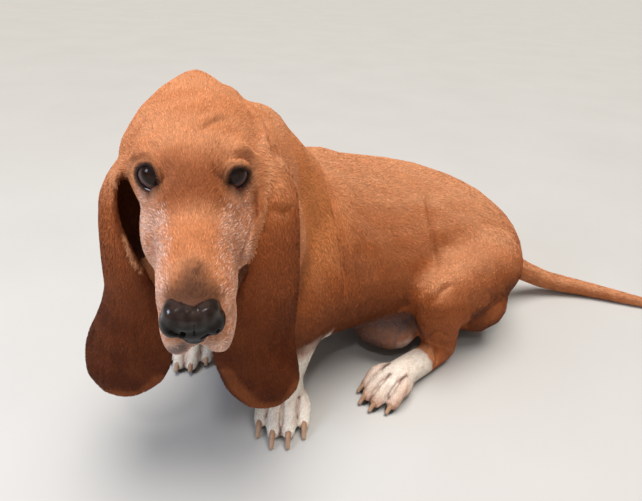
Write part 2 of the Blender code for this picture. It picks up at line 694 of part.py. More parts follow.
def mouth_groove(cutters):
    """Cutters for the line of the mouth on each side, and the line down the middle of the lip."""
    made = []
    for sign in SIDES.values():
        line = [
            on_head(sign * 0.0010, 0.0080, -0.0440),
            on_head(sign * 0.0120, 0.0110, -0.0585),
            on_head(sign * 0.0250, 0.0330, -0.0580),
            on_head(sign * 0.0340, 0.0700, -0.0520),
            on_head(sign * 0.0400, 0.0980, -0.0380),
        ]
        radii = (0.0016, 0.0018, 0.0018, 0.0018, 0.0012)
        made.append(limb(f"mouth_{sign}", line, radii, cutters, 2, 5, (50,)))
    middle = [on_head(0, 0.0040, -0.0290), on_head(0, 0.0070, -0.0440)]
    made.append(limb("philtrum", middle, (0.0010, 0.0016), cutters, 1, 5, (50,)))
    return made


def claw_line(frame, across, reach, size, bend):
    """Root, middle and tip of one claw, in the paw's axes."""
    root = Vector((across * 1.04, reach - 0.004, 0.0130)) * size
    middle = Vector((across * 1.07, reach + CLAW_LENGTH * 0.40, 0.0118)) * size
    tip = Vector((across * 1.10, reach + CLAW_LENGTH * 0.78, 0.0022 / size)) * size
    middle.z += bend
    return [frame @ root, frame @ middle, frame @ tip]


def claws(name, frame, size, paw, cutters, collection):
    """Four claws in sockets of the paw. Each is a piece of its own."""
    for i, (across, reach) in enumerate(TOES):
        line = claw_line(frame, across, reach, size, 0.0012)
        radii = [CLAW_RADIUS, CLAW_RADIUS * 0.90, CLAW_RADIUS * CLAW_BLUNTNESS]
        seat = limb(f"{name}_seat_{i}", line, [r + GAP for r in radii], cutters, 1, 6, (50,))
        combine(paw, seat, "DIFFERENCE")
        claw = limb(f"{name}_claw_{i + 1}", line, radii, collection, 1, 6, (50,))
        claw.data.materials.append(bpy.data.materials["claw"])


def parted(flesh, name, region, cutters, collection):
    """Takes the part of the flesh inside a region as a piece, and leaves the rest a gap away."""
    piece = copy_of(flesh, name, collection)
    combine(piece, region, "INTERSECT")
    combine(flesh, swollen(region, f"{region.name}_gap", GAP * 1.3, cutters), "DIFFERENCE")
    piece.data.materials.clear()
    piece.data.materials.append(bpy.data.materials["coat"])
    return piece


def beyond(name, point, direction, half_sizes, collection):
    """A box on the far side of a plane: from point on, along direction."""
    direction = direction.normalized()
    frame = direction.to_track_quat("Z", "Y").to_matrix().to_4x4()
    return block(name, point + direction * half_sizes[2], half_sizes, collection, frame)


def part_legs(flesh, cutters, dog):
    """Cuts the legs from the trunk, and each leg at its elbow and wrist, or stifle and hock."""
    pieces = {}
    for side in SIDES:
        out = OUTWARD[side]
        paw, wrist, elbow, shoulder = FOREPAW[side], WRIST[side], ELBOW[side], SHOULDER[side]
        foot = block(f"forepaw_region_{side}", paw + UP * 0.010, (0.065, 0.065, 0.040), cutters,
                     paw_frame(paw, FOREPAW_BEARING[side]))
        pieces[f"forepaw_{side}"] = parted(flesh, f"forepaw_{side}", foot, cutters, dog)
        reach = [elbow + UP * 0.012, (elbow + wrist) / 2, wrist - UP * 0.04]
        arm = limb(f"forearm_region_{side}", reach, (0.047, 0.050, 0.058), cutters, 1, 12, (50,))
        parted(flesh, f"forearm_{side}", arm, cutters, dog)
        top, low = BLADE_TOP[side] + out * 0.052, elbow + out * 0.046
        upper = muscle(f"shoulder_region_{side}", top, low, 0.080, 0.056, cutters, 1.35, out, 14)
        parted(flesh, f"shoulder_{side}", upper, cutters, dog)
        hip, knee, hock, paw = HIP[side], KNEE[side], HOCK[side], HINDPAW[side]
        axes = paw_frame(paw, HINDPAW_BEARING[side])
        toes_end = axes @ Vector((0, 0.010, 0.010))
        reach = [hock + (paw - hock) * 0.12 - UP * 0.004, (hock + paw) / 2, toes_end]
        foot = limb(f"hindpaw_region_{side}", reach, (0.038, 0.050, 0.060), cutters, 1, 12, (50,))
        pieces[f"hindpaw_{side}"] = parted(flesh, f"hindpaw_{side}", foot, cutters, dog)
        line = [knee * 0.8 + hock * 0.2, hock]
        shank = limb(f"shank_region_{side}", line, (0.050, 0.050), cutters, 1, 12, (50,))
        parted(flesh, f"shank_{side}", shank, cutters, dog)
        top, low = hip + out * 0.020, knee + out * 0.020
        thigh = muscle(f"thigh_region_{side}", top, low, 0.092, 0.060, cutters, 1.35, out, 14)
        parted(flesh, f"thigh_{side}", thigh, cutters, dog)
    return pieces


def part_trunk(flesh, cutters, dog):
    """Cuts the head, neck and tail from the torso, which is what is left of the flesh."""
    tail_way = Vector(TAIL[2]) - Vector(TAIL[0])
    tail_region = beyond("tail_region", TAIL_JOIN, tail_way, (0.2, 0.2, 0.3), cutters)
    parted(flesh, "tail", tail_region, cutters, dog)
    back = HEAD.to_3x3() @ Vector((0, -1, 0.80))
    skull_region = beyond("head_region", on_head(0, 0.238, 0.020), back, (0.15, 0.200, 0.18), cutters)
    skull = parted(flesh, "head", skull_region, cutters, dog)
    collar = beyond("neck_region", NECK_JOIN, NECK_WAY, (0.16, 0.16, 0.14), cutters)
    parted(flesh, "neck", collar, cutters, dog)
    return skull


def main():
    clear_scene()
    clay = new_collection("clay")
    dog = new_collection("basset_hound")
    cutters = new_collection("cutters")
    material("coat", FLESH_COLOUR, 0.75)
    material("ear", EAR_COLOUR, 0.80)
    material("nose", NOSE_COLOUR, 0.30)
    material("eye", EYE_COLOUR, 0.08)
    material("claw", CLAW_COLOUR, 0.40)
    trunk(clay)
    head(clay)
    for side in SIDES:
        foreleg(side, clay)
        hind_leg(side, clay)
    tail(clay)
    flesh = fused("torso", clay, VOXEL, FACE_SOFTENING, dog)
    softened(flesh, BODY_SOFTENING, softness)
    flesh.data.materials.append(bpy.data.materials["coat"])
    thinned(flesh, FLESH_TRIANGLES, fineness)
    combine(flesh, block("below_floor", Vector((0, 0, -0.5)), (2, 2, 0.5), cutters), "DIFFERENCE")
    whole = swollen(flesh, "whole_gap", GAP * 1.5, cutters)
    for side in SIDES:
        flap = ear(side, clay, dog)
        combine(flap, whole, "DIFFERENCE")
        flap.data.materials.append(bpy.data.materials["ear"])
    skull = part_trunk(flesh, cutters, dog)
    pieces = part_legs(flesh, cutters, dog)
    _, seat = nose(clay, cutters, dog)
    combine(skull, seat, "DIFFERENCE")
    for groove in mouth_groove(cutters):
        combine(skull, groove, "DIFFERENCE")
    set_eyes(skull, cutters, dog)
    for side in SIDES:
        fore, hind = f"forepaw_{side}", f"hindpaw_{side}"
        front = paw_frame(FOREPAW[side], FOREPAW_BEARING[side])
        rear = paw_frame(HINDPAW[side], HINDPAW_BEARING[side])
        claws(fore, front, 1.0, pieces[fore], cutters, dog)
        claws(hind, rear, HINDPAW_SIZE, pieces[hind], cutters, dog)
    for cutter in list(cutters.objects):
        bpy.data.objects.remove(cutter)
    for obj in dog.objects:
        obj.data.transform(Matrix.Translation(-STANCE_CENTRE))
        obj.data.shade_smooth()
        obj.data.set_sharp_from_angle(angle=math.radians(40))


main()
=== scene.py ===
# %% [markdown]
# # A sitting basset hound, life size, as a museum model
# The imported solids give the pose, the size and every outline. This lesson dresses them: one
# skin over all the flesh, a short coat of tufts, and the eyes, nose, claws and pads as pieces
# of their own. Everything is in metres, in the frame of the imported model.

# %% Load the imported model
import bpy
import math
import numpy as np
from mathutils import Matrix, Vector
from mathutils.bvhtree import BVHTree


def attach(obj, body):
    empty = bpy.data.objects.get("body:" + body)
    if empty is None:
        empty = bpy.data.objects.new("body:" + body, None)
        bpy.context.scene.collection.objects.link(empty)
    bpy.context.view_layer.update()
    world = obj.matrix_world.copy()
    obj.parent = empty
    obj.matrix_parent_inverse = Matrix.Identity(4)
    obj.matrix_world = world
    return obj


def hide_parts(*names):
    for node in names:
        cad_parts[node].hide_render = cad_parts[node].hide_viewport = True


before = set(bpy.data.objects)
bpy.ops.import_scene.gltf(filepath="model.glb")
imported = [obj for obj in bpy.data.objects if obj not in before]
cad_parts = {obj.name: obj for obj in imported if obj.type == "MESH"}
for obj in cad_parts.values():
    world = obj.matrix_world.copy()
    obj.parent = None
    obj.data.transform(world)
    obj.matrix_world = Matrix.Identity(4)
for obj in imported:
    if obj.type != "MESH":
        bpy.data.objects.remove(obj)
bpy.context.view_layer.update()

# %% [markdown]
# ## The camera first
# A person stood in front of the dog and held the camera at chest height, tipped down by about
# thirty degrees and turned a little to one side. With the camera placed first, a fold or a patch
# can be pointed at in the picture's own frame, and then found on the skin.

# %% The camera
FRAME_WIDTH, FRAME_HEIGHT = 642, 501
FOCAL = 506.97
STANCE = Vector((0.0111, 0.0205, 0.0))
CAMERA_PLACE = Vector((-0.2100, -0.6070, 0.54184)) - STANCE
CAMERA_DIP = math.radians(29.2254)
CAMERA_ROLL = math.radians(2.998)

level_right = Vector((1, 0, 0))
level_up = Vector((0, math.sin(CAMERA_DIP), math.cos(CAMERA_DIP)))
view_ahead = Vector((0, math.cos(CAMERA_DIP), -math.sin(CAMERA_DIP)))
view_right = level_right * math.cos(CAMERA_ROLL) + level_up * math.sin(CAMERA_ROLL)
view_up = level_up * math.cos(CAMERA_ROLL) - level_right * math.sin(CAMERA_ROLL)

camera = bpy.data.objects.new("camera", bpy.data.cameras.new("camera"))
bpy.context.scene.collection.objects.link(camera)
camera.data.sensor_width = 36.0
camera.data.lens = FOCAL * camera.data.sensor_width / FRAME_WIDTH
camera.matrix_world = Matrix.Translation(CAMERA_PLACE) @ Matrix(
    (view_right, view_up, -view_ahead)).transposed().to_4x4()
bpy.context.scene.camera = camera


def sight(across, down):
    """The way from the camera through a point of its frame."""
    return (view_ahead + view_right * ((across - FRAME_WIDTH / 2) / FOCAL)
            - view_up * ((down - FRAME_HEIGHT / 2) / FOCAL)).normalized()


print("lens:", round(camera.data.lens, 2), "mm")

# %% [markdown]
# ## Landmarks of the head
# The skull is turned and dips from the neck, so its parts are easiest to name in its own axes:
# x to its left, y back from the tip of the nose, z up.

# %% The head's own axes
NOSE_TIP = Vector((-0.299, -0.317, 0.311)) - STANCE
HEAD_TURN, HEAD_PITCH = math.radians(10.6), math.radians(19)
head_axes = Matrix.Rotation(HEAD_TURN, 3, "Z") @ Matrix.Rotation(HEAD_PITCH, 3, "X")
EYE_RADIUS, EYE_SUNK = 0.0125, 0.0008
EYE_ASIDE, EYE_BACK, EYE_RISE = 0.0320, 0.1260, 0.0375


def on_head(x, y, z):
    """A place on the head, from its own axes."""
    return NOSE_TIP + head_axes @ Vector((x, y, z))


def in_head(points):
    """Places as the head's own x, y and z, one row each."""
    return (points - np.array(NOSE_TIP)) @ np.array(head_axes)


def laid(x, y, z=0.0):
    """A place named on the floor plan from which the pose was laid out."""
    return Vector((x, y, z)) - STANCE


SIDES = {"left": 1, "right": -1}
eye_out = {side: (head_axes @ Vector((sign * 0.40, -0.88, 0.26))).normalized()
           for side, sign in SIDES.items()}
eye_place = {side: on_head(sign * EYE_ASIDE, EYE_BACK, EYE_RISE) - eye_out[side] * EYE_SUNK
             for side, sign in SIDES.items()}
print("eyes apart:", round((eye_place["left"] - eye_place["right"]).length * 1000, 1), "mm")

# %% [markdown]
# ## One skin over all the flesh
# On the real dog the skin runs without a break from the lips to the tip of the tail. The solids
# are parted at the joints, so their copies are swollen by a hair, laid together and cast again
# as one closed surface of small even squares. The sockets of the claws, the eyes and the nose
# are filled first, or the skin would dip into them.

# %% What is flesh
FLESH = ["head", "neck", "torso", "tail", "ear_left", "ear_right"] + [
    f"{part}_{side}" for side in SIDES
    for part in ("shoulder", "forearm", "forepaw", "thigh", "shank", "hindpaw")]
CLAWS = [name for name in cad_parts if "claw" in name]
print("flesh solids:", len(FLESH), "claws:", len(CLAWS))

# %% [markdown]
# A mesh is read as an array of points and one of faces, worked on as numbers, and made a mesh
# again.

# %% Meshes as arrays
def read(rows, name, width, kind=np.float32):
    """One property of each row of a Blender list, as an array this many numbers wide."""
    values = np.empty(len(rows) * width, kind)
    rows.foreach_get(name, values)
    values = values.reshape(-1, width)
    return values.astype(float) if kind is np.float32 else values


def mesh_arrays(mesh):
    """A mesh's points and triangles as arrays."""
    mesh.calc_loop_triangles()
    return read(mesh.vertices, "co", 3), read(mesh.loop_triangles, "vertices", 3, np.int32)


def mesh_from(name, points, faces):
    """A mesh made of an array of points and one of faces, all with the same number of corners."""
    mesh = bpy.data.meshes.new(name)
    corners = faces.shape[1]
    mesh.vertices.add(len(points))
    mesh.vertices.foreach_set("co", np.asarray(points, np.float32).ravel())
    mesh.loops.add(faces.size)
    mesh.loops.foreach_set("vertex_index", faces.astype(np.int32).ravel())
    mesh.polygons.add(len(faces))
    mesh.polygons.foreach_set("loop_start", np.arange(0, faces.size, corners, dtype=np.int32))
    mesh.polygons.foreach_set("loop_total", np.full(len(faces), corners, dtype=np.int32))
    mesh.update(calc_edges=True)
    mesh.polygons.foreach_set("use_smooth", np.ones(len(faces), bool))
    return mesh


def shown(mesh, name):
    """An object that shows a mesh, in the scene."""
    obj = bpy.data.objects.new(name, mesh)
    bpy.context.scene.collection.objects.link(obj)
    return obj


def applied(obj):
    """The object's mesh with its modifiers carried out."""
    seen = obj.evaluated_get(bpy.context.evaluated_depsgraph_get())
    mesh = bpy.data.meshes.new_from_object(seen)
    obj.modifiers.clear()
    old, obj.data = obj.data, mesh
    bpy.data.meshes.remove(old)
    return mesh


def together(parts):
    """Several pairs of points and triangles as one pair."""
    points, faces, start = [], [], 0
    for some_points, some_faces in parts:
        points.append(some_points)
        faces.append(some_faces + start)
        start += len(some_points)
    return np.vstack(points), np.vstack(faces)


solids = {name: mesh_arrays(node.data) for name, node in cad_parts.items()}
print("triangles in the solids:", sum(len(faces) for _, faces in solids.values()))


# %% Lengths, directions and smooth steps
def unit(rows):
    """Each row made one long."""
    return rows / np.maximum(np.linalg.norm(rows, axis=1, keepdims=True), 1e-9)


def tangent(ways, out):
    """The ways laid down at right angles to others, as on a surface, and made one long."""
    return unit(ways - out * np.sum(ways * out, axis=1, keepdims=True))


def far_from(points, place):
    """How far each point is from a place."""
    return np.linalg.norm(points - np.array(place), axis=1)


def eased(value, low, high):
    """0 below low, 1 above high, and a smooth rise between."""
    share = np.clip((value - low) / (high - low), 0, 1)
    return share * share * (3 - 2 * share)


def normals_of(points, faces):
    """The outward direction at each point, from its faces."""
    a, b, c = (points[faces[:, k]] for k in range(3))
    cross = np.cross(b - a, c - a)
    total = np.zeros_like(points)
    for k in range(faces.shape[1]):
        for axis in range(3):
            total[:, axis] += np.bincount(faces[:, k], cross[:, axis], len(points))
    return unit(total)


print("a smooth step, a quarter of the way:", eased(0.25, 0, 1))

# %% [markdown]
# Claws, pads, eyes and the rolls of skin are all made of rings of points: an oval round one place,
# or a tube along a path.

# %% Ovals and tubes
BLUNT = 0.35


def ringed(rings, ends=None):
    """A closed form through rings of points, as points and triangles. Without ends it is a hoop."""
    count, around = rings.shape[:2]
    first = 0 if ends is None else 1
    here = first + np.arange(count * around).reshape(count, around)
    there = np.roll(here, -1, axis=1)
    lower, lower_there = np.roll(here, -1, axis=0), np.roll(there, -1, axis=0)
    rows = count if ends is None else count - 1
    faces = [np.stack([here, lower_there, there], 2)[:rows].reshape(-1, 3),
             np.stack([here, lower, lower_there], 2)[:rows].reshape(-1, 3)]
    points = rings.reshape(-1, 3)
    if ends is not None:
        points = np.vstack([ends[0], points, ends[1]])
        last = np.full(around, len(points) - 1)
        faces += [np.column_stack([0 * last, here[0], there[0]]),
                  np.column_stack([here[-1], last, there[-1]])]
    faces = np.vstack(faces)
    a, b, c = (points[faces[:, k]] for k in range(3))
    inside_out = np.sum(np.cross(a, b) * c) < 0
    return points, faces[:, ::-1] if inside_out else faces


def oval(place, radii, axes=None, rows=8):
    """An egg-shaped form as points and triangles. Its radii lie along its own axes."""
    tilt = np.pi * np.arange(1, rows) / rows
    turn = np.pi * np.arange(2 * rows) / rows
    rings = np.stack([np.outer(np.sin(tilt), np.cos(turn)), np.outer(np.sin(tilt), np.sin(turn)),
                      np.outer(np.cos(tilt), np.ones(2 * rows))], 2)
    points, faces = ringed(rings, (np.array([0, 0, 1.0]), np.array([0, 0, -1.0])))
    axes = np.eye(3) if axes is None else np.array(axes)
    return np.array(place) + (points * radii) @ axes.T, faces


def tube(path, radii, around, hoop=False):
    """A round form along a path, with blunt ends unless it is a hoop."""
    path = np.array(path)
    ahead = unit(np.roll(path, -1, 0) - np.roll(path, 1, 0) if hoop else np.gradient(path, axis=0))
    middle = path.mean(0) if hoop else path[0] + np.array(Vector(ahead[0]).orthogonal())
    side = path - middle if hoop else np.tile(middle - path[0], (len(path), 1))
    side = tangent(side, ahead)
    across = np.cross(ahead, side)
    turn = 2 * np.pi * np.arange(around) / around
    radii = np.broadcast_to(np.asarray(radii, float), len(path))[:, None, None]
    rings = path[:, None] + radii * (side[:, None] * np.cos(turn)[:, None]
                                     + across[:, None] * np.sin(turn)[:, None])
    ends = None if hoop else (path[0] - ahead[0] * radii[0, 0] * BLUNT,
                              path[-1] + ahead[-1] * radii[-1, 0] * BLUNT)
    return ringed(rings, ends)


print("an oval's triangles:", len(oval((0, 0, 0), (1, 1, 1))[1]))


# %% Paths
def curved(path, steps=8, hoop=False):
    """A smooth path through a few places."""
    path = [Vector(p) for p in path]
    ends = [path[-1], *path, path[0], path[1]] if hoop else [
        path[0] * 2 - path[1], *path, path[-1] * 2 - path[-2]]
    made = []
    for a, b, c, d in zip(ends, ends[1:], ends[2:], ends[3:]):
        for k in range(steps):
            t = k / steps
            made.append(0.5 * (2 * b + (c - a) * t + (2 * a - 5 * b + 4 * c - d) * t * t
                               + (3 * b - a - 3 * c + d) * t ** 3))
    return made if hoop else made + [path[-1]]


def near_stretch(points, path):
    """Each point's nearest stretch of a path: how far it is, which, and what share along it."""
    best, shares = np.full(len(points), 9.0), np.zeros(len(points))
    which = np.zeros(len(points), int)
    for k, (start, end) in enumerate(zip(path[:-1], path[1:])):
        step = end - start
        share = np.clip((points - start) @ step / max(step @ step, 1e-12), 0, 1)
        gap = np.linalg.norm(points - start - share[:, None] * step, axis=1)
        closer = gap < best
        best[closer], which[closer], shares[closer] = gap[closer], k, share[closer]
    return best, which, shares


def gap_to_path(points, path):
    """How far each point is from a path, and how far along the path that is, from 0 to 1."""
    path = np.array(path)
    best, which, shares = near_stretch(points, path)
    lengths = np.linalg.norm(np.diff(path, axis=0), axis=1)
    run = np.concatenate([[0], np.cumsum(lengths)])
    return best, (run[which] + shares * lengths[which]) / max(run[-1], 1e-9)


print("places on a path of three:", len(curved([(0, 0, 0), (1, 0, 0), (1, 1, 0)])))

# %% [markdown]
# A ray from the camera through a point of the picture's frame finds the place on the solids that
# is seen there. Later the same is done with the skin.

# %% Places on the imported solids
tree_names = [name for name, (_, faces) in solids.items() for _ in faces]
solid_points, solid_faces = together(solids.values())
solid_tree = BVHTree.FromPolygons(solid_points.tolist(), solid_faces.tolist())


def on_solids(across, down):
    """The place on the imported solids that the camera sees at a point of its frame."""
    return solid_tree.ray_cast(CAMERA_PLACE, sight(across, down))[0]


def under_solids(across, down, depth):
    """The place this deep under the solids, at a point of the picture's frame."""
    place, facing, _, _ = solid_tree.ray_cast(CAMERA_PLACE, sight(across, down))
    return place - facing * (depth if facing.dot(sight(across, down)) < 0 else -depth)


def level_with(across, down, aside):
    """A place seen at a point of the frame, as far off as the solids are a little aside of it."""
    reach = (on_solids(across + aside, down) - CAMERA_PLACE).length
    return CAMERA_PLACE + sight(across, down) * reach


def claw_ends(name):
    """The root and the tip of a claw: its two far ends, the root being the thicker one."""
    points, _ = solids[name]
    middle = points.mean(0)
    along = np.linalg.svd(points - middle)[2][0]
    reach = (points - middle) @ along
    wide = [np.ptp(points[end], axis=0).max() for end in (reach < -0.004, reach > 0.004)]
    if wide[0] < wide[1]:
        along, reach = -along, -reach
    return middle + along * reach.min(), middle + along * reach.max()


claw_span = {name: claw_ends(name) for name in CLAWS}
claw_lengths = [np.linalg.norm(tip - root) for root, tip in claw_span.values()]
print("longest claw:", round(max(claw_lengths) * 1000, 1), "mm")


# %% Fill the sockets, and add the loose rolls of skin
SWELL, SKIN_VOXEL = 0.0004, 0.0016
FLOOR_GAP, SKIN_GAP = 0.0002, 0.0003
# Each row of the roll is a point of the picture's frame, how far aside its depth is read, and its
# radius. It runs from the skull down the front rim of the left ear.
EAR_ROLL = [((249, 104), 0, 0.0040), ((257, 122), 0, 0.0060), ((263, 142), 2, 0.0074),
            ((265.5, 162), 4, 0.0076), ((264.5, 180), 6, 0.0072), ((262, 200), 8, 0.0066),
            ((259, 219), 10, 0.0056), ((252.5, 240), 12, 0.0046), ((245, 257), 14, 0.0036),
            ((239, 270), 16, 0.0026)]
ROLL_SUNK = 0.0034
CHEEK_GAP = [(252, 184), (253, 193), (254, 202), (254, 211), (253, 220), (251, 230), (247, 241),
             (243, 251)]
CHEEK_ROUND, CHEEK_SUNK = 0.0085, 0.006
# Each lump is a place in the frame, how deep its middle lies under the solids, and its radii.
LUMPS = [(under_solids(*spot, depth), radii) for spot, depth, radii in (
    ((272, 141), 0.0175, (0.0200, 0.0200, 0.0200)), ((284, 148), 0.0120, (0.0145, 0.0145, 0.0145)),
    ((283, 170), 0.0140, (0.0160, 0.0150, 0.0200)), ((506, 292), 0.0290, (0.0300, 0.0300, 0.0300)),
    ((497, 305), 0.0270, (0.0280, 0.0280, 0.0280)), ((500, 295), 0.0205, (0.0255, 0.0255, 0.0255)),
    ((487, 304), 0.0200, (0.0250, 0.0250, 0.0250)), ((475, 312), 0.0200, (0.0235, 0.0235, 0.0235)))]
LUMPS.append((CAMERA_PLACE + sight(150, 277) * 0.550, (0.0150, 0.0120, 0.0260)))
PLUG_RADIUS, LID_THICKNESS = 0.0042, 0.0032
flesh_parts = []
for name in FLESH + ["nose"]:
    points, faces = solids[name]
    flesh_parts.append((points + SWELL * normals_of(points, faces), faces))
for root, tip in claw_span.values():
    flesh_parts += [oval(root + (tip - root) * share, (PLUG_RADIUS,) * 3) for share in (0.08, 0.24)]
for side in SIDES:
    flesh_parts.append(oval(eye_place[side], (EYE_RADIUS + LID_THICKNESS,) * 3, rows=16))
roll = [(*(level_with(*spot, aside) + sight(*spot) * ROLL_SUNK), radius)
        for spot, aside, radius in EAR_ROLL]
steps = np.linspace(0, len(roll) - 1, 33)
roll = np.column_stack([np.interp(steps, range(len(roll)), column) for column in np.array(roll).T])
flesh_parts.append(tube(roll[:, :3], roll[:, 3], 14))
for across, down in CHEEK_GAP:
    middle = (level_with(across, down, -7) + level_with(across, down, 9)) / 2
    flesh_parts.append(oval(middle + sight(across, down) * CHEEK_SUNK, (CHEEK_ROUND,) * 3))
flesh_parts += [oval(place, radii, rows=12) for place, radii in LUMPS]
print("forms to cast:", len(flesh_parts))


# %% Cast the flesh as one
def cast_as_one(parts, voxel):
    """Forms that run into each other, as the points and squares of one closed surface."""
    cast = shown(mesh_from("cast", *together(parts)), "cast")
    remesh = cast.modifiers.new("fuse", "REMESH")
    remesh.mode, remesh.voxel_size = "VOXEL", voxel
    mesh = applied(cast)
    points, squares = read(mesh.vertices, "co", 3), read(mesh.polygons, "vertices", 4, np.int32)
    bpy.data.objects.remove(cast)
    return points, squares


body, quads = cast_as_one(flesh_parts, SKIN_VOXEL)
print("skin squares:", len(quads), "points:", len(body))

# %% [markdown]
# ## What each bit of skin belongs to
# The coat is short on the face and the feet and longer on the back, and the ears are darker.
# Each point of the skin takes the name of the nearest solid. Amounts that go by name are spread
# over the surface a little, so that nothing changes at a line.

# %% Name the skin, and a way to spread an amount
def names_of(points):
    """The name of the solid nearest to each point."""
    return np.array([tree_names[solid_tree.find_nearest(p)[2]] for p in map(Vector, points)])


def edges_of(faces):
    """Each pair of neighbouring corners of the faces, once each way."""
    count = faces.shape[1]
    return np.vstack([faces[:, [k, (k + 1) % count]] for k in range(count)])


def spread(values, edges, rounds, share=0.8, amount=1.0):
    """Moves each point's value towards the mean of its neighbours', round by round."""
    values = np.array(values, float)
    flat = values.ndim == 1
    values = values[:, None] if flat else values
    start, end = edges.T
    degree = np.maximum(np.bincount(start, minlength=len(values)), 1)[:, None]
    share = share * (amount[:, None] if np.ndim(amount) else amount)
    for _ in range(rounds):
        mean = np.column_stack([np.bincount(start, column[end], len(values))
                                for column in values.T]) / degree
        values = values + share * (mean - values)
    return values[:, 0] if flat else values


def by_name(names, table, other):
    """One amount for each name, the first word of which is looked up in a table."""
    kinds, where = np.unique(names, return_inverse=True)
    amounts = [table.get(kind.split("_")[0], other) for kind in kinds]
    return np.array(amounts)[where]


body_names = names_of(body)
body_edges = edges_of(quads)
print("named:", {str(k): int(n) for k, n in zip(*np.unique(body_names, return_counts=True))
                 if "claw" not in k})

# %% [markdown]
# ## Rounding the flesh, and drawing it in by the coat's depth
# The solids have flat facets and the flesh has none, so the skin is smoothed: much on the trunk,
# where the facets are large, and little on the face. Then it is drawn in along its own normals,
# by the thickness of the coat that will lie on it.

# %% Smooth and draw in
SOFTNESS = {"torso": 1.0, "neck": 0.9, "thigh": 0.8, "shoulder": 0.7, "tail": 0.35, "forearm": 0.3,
            "shank": 0.4, "head": 0.14, "ear": 0.25, "forepaw": 0.07, "hindpaw": 0.07}
COAT_DEPTH = {"torso": 0.0026, "neck": 0.0026, "thigh": 0.0022, "shoulder": 0.0022,
              "tail": 0.0018, "forearm": 0.0014, "shank": 0.0014, "head": 0.0011, "ear": 0.0010,
              "forepaw": 0.0008, "hindpaw": 0.0008, "nose": 0.0022}
ROUNDING_ROUNDS = 70
SOFT_SPOTS = [((277, 138), 0.034), ((266, 170), 0.024), ((505, 290), 0.055), ((480, 312), 0.045)]

softness = spread(by_name(body_names, SOFTNESS, 0.05), body_edges, 40)
for spot, reach in SOFT_SPOTS:
    near = 1 - eased(far_from(body, on_solids(*spot)), 0.5 * reach, reach)
    softness = np.maximum(softness, near)
body_depth = spread(by_name(body_names, COAT_DEPTH, 0.0), body_edges, 40)
body = spread(body, body_edges, ROUNDING_ROUNDS, 0.8, softness)
body_out = normals_of(body, quads)
body = body - body_out * (body_depth + SWELL)[:, None]
print("coat depth, mm:", round(body_depth.min() * 1000, 2), "to",
      round(body_depth.max() * 1000, 2))

# %% [markdown]
# ## Opening the eyes
# The lids of a basset droop, so the opening is longer than it is wide, and its lower edge hangs.
# The edge of each opening is given as places in the picture's frame, found on the ball of the
# eye. Inside it the skin is pushed in behind the eye, and outside it the skin is laid over the
# eye as a lid, with a crease above.

# %% The edges of the lids
LID_EDGES = {
    "right": [(137.5, 174), (139, 169.5), (143, 166.5), (147.5, 165.5), (151, 167.5),
              (153.5, 171.5), (155.5, 176.5), (157.5, 182), (160, 187), (160.5, 192.5),
              (157.5, 196), (153, 194.5), (148, 192.5), (145, 190), (142, 185.5), (139, 180)],
    "left": [(231.5, 173), (234.5, 170), (239, 169), (244, 170), (248, 173), (250.3, 178),
             (250.8, 184), (249.5, 189.5), (246, 193), (240.5, 194), (235, 193), (230.5, 190.5),
             (227.5, 187), (229.5, 179)],
}
LID_RIM = 0.0007


def on_eye(side, across, down, grow=0.0):
    """The place on the ball of an eye that the camera sees at a point of its frame."""
    ray, gap = sight(across, down), CAMERA_PLACE - eye_place[side]
    back = ray.dot(gap)
    reach = back * back - gap.length_squared + EYE_RADIUS ** 2
    place = CAMERA_PLACE + ray * (-back - math.sqrt(max(reach, 0.0)))
    return eye_place[side] + (place - eye_place[side]).normalized() * (EYE_RADIUS + grow)


lid_loop = {side: curved([on_eye(side, *spot) for spot in spots], 4, hoop=True)
            for side, spots in LID_EDGES.items()}
print("lid edges:", {side: len(loop) for side, loop in lid_loop.items()})


# %% Part the lids
def eye_chart(side, points):
    """Points round an eye on a flat chart, in metres: across the lids and up.

    The chart is drawn from a place just behind the eye, so that it reaches right round it.
    """
    out = eye_out[side]
    across = out.cross(head_axes @ Vector((0, 0, 1))).normalized()
    up = across.cross(out)
    way = unit(points - np.array(eye_place[side]))
    flat = np.column_stack([way @ np.array(across), way @ np.array(up), 0 * way[:, 0]])
    return 2 * EYE_RADIUS * flat / (1.02 + way @ np.array(out))[:, None]


def outside_lids(side, points):
    """How far each point is outside the opening of the lids, below zero inside it."""
    loop = eye_chart(side, np.array(lid_loop[side]))
    chart = eye_chart(side, points)
    gap, _ = gap_to_path(chart, np.vstack([loop, loop[:1]]))
    inside = np.zeros(len(points), bool)
    for start, end in zip(loop, np.roll(loop, -1, axis=0)):
        above = (start[1] > chart[:, 1]) != (end[1] > chart[:, 1])
        rise = (chart[:, 1] - start[1]) / (end[1] - start[1] if end[1] != start[1] else 1e-12)
        inside ^= above & (chart[:, 0] < start[0] + rise * (end[0] - start[0]))
    return np.where(inside, -gap, gap), chart


EYE_REACH, LID_LIFT, LID_SWELL, EYE_HOLLOW = 0.026, 0.0016, 0.0020, 0.0022
CREASE_AT, CREASE_WIDE, CREASE_DEEP = 0.0052, 0.0012, 0.0012
for side in SIDES:
    middle = np.array(eye_place[side])
    some = np.flatnonzero(far_from(body, middle) < EYE_REACH)
    way = body[some] - middle
    far = np.linalg.norm(way, axis=1)
    outside, chart = outside_lids(side, body[some])
    lid = EYE_RADIUS + LID_LIFT + LID_SWELL * eased(outside, 0.0, 0.0035)
    crease = np.exp(-((outside - CREASE_AT) / CREASE_WIDE) ** 2)
    lid -= CREASE_DEEP * crease * eased(chart[:, 1], -0.002, 0.005)
    lid = np.where(outside < 0, EYE_RADIUS - EYE_HOLLOW, lid)
    share = eased(outside, 0.0050, 0.0120)
    front = eased(way @ np.array(eye_out[side]), -0.002, 0.002)
    made = far + front * (lid * (1 - share) + far * share - far)
    body[some] = middle + way / far[:, None] * made[:, None]
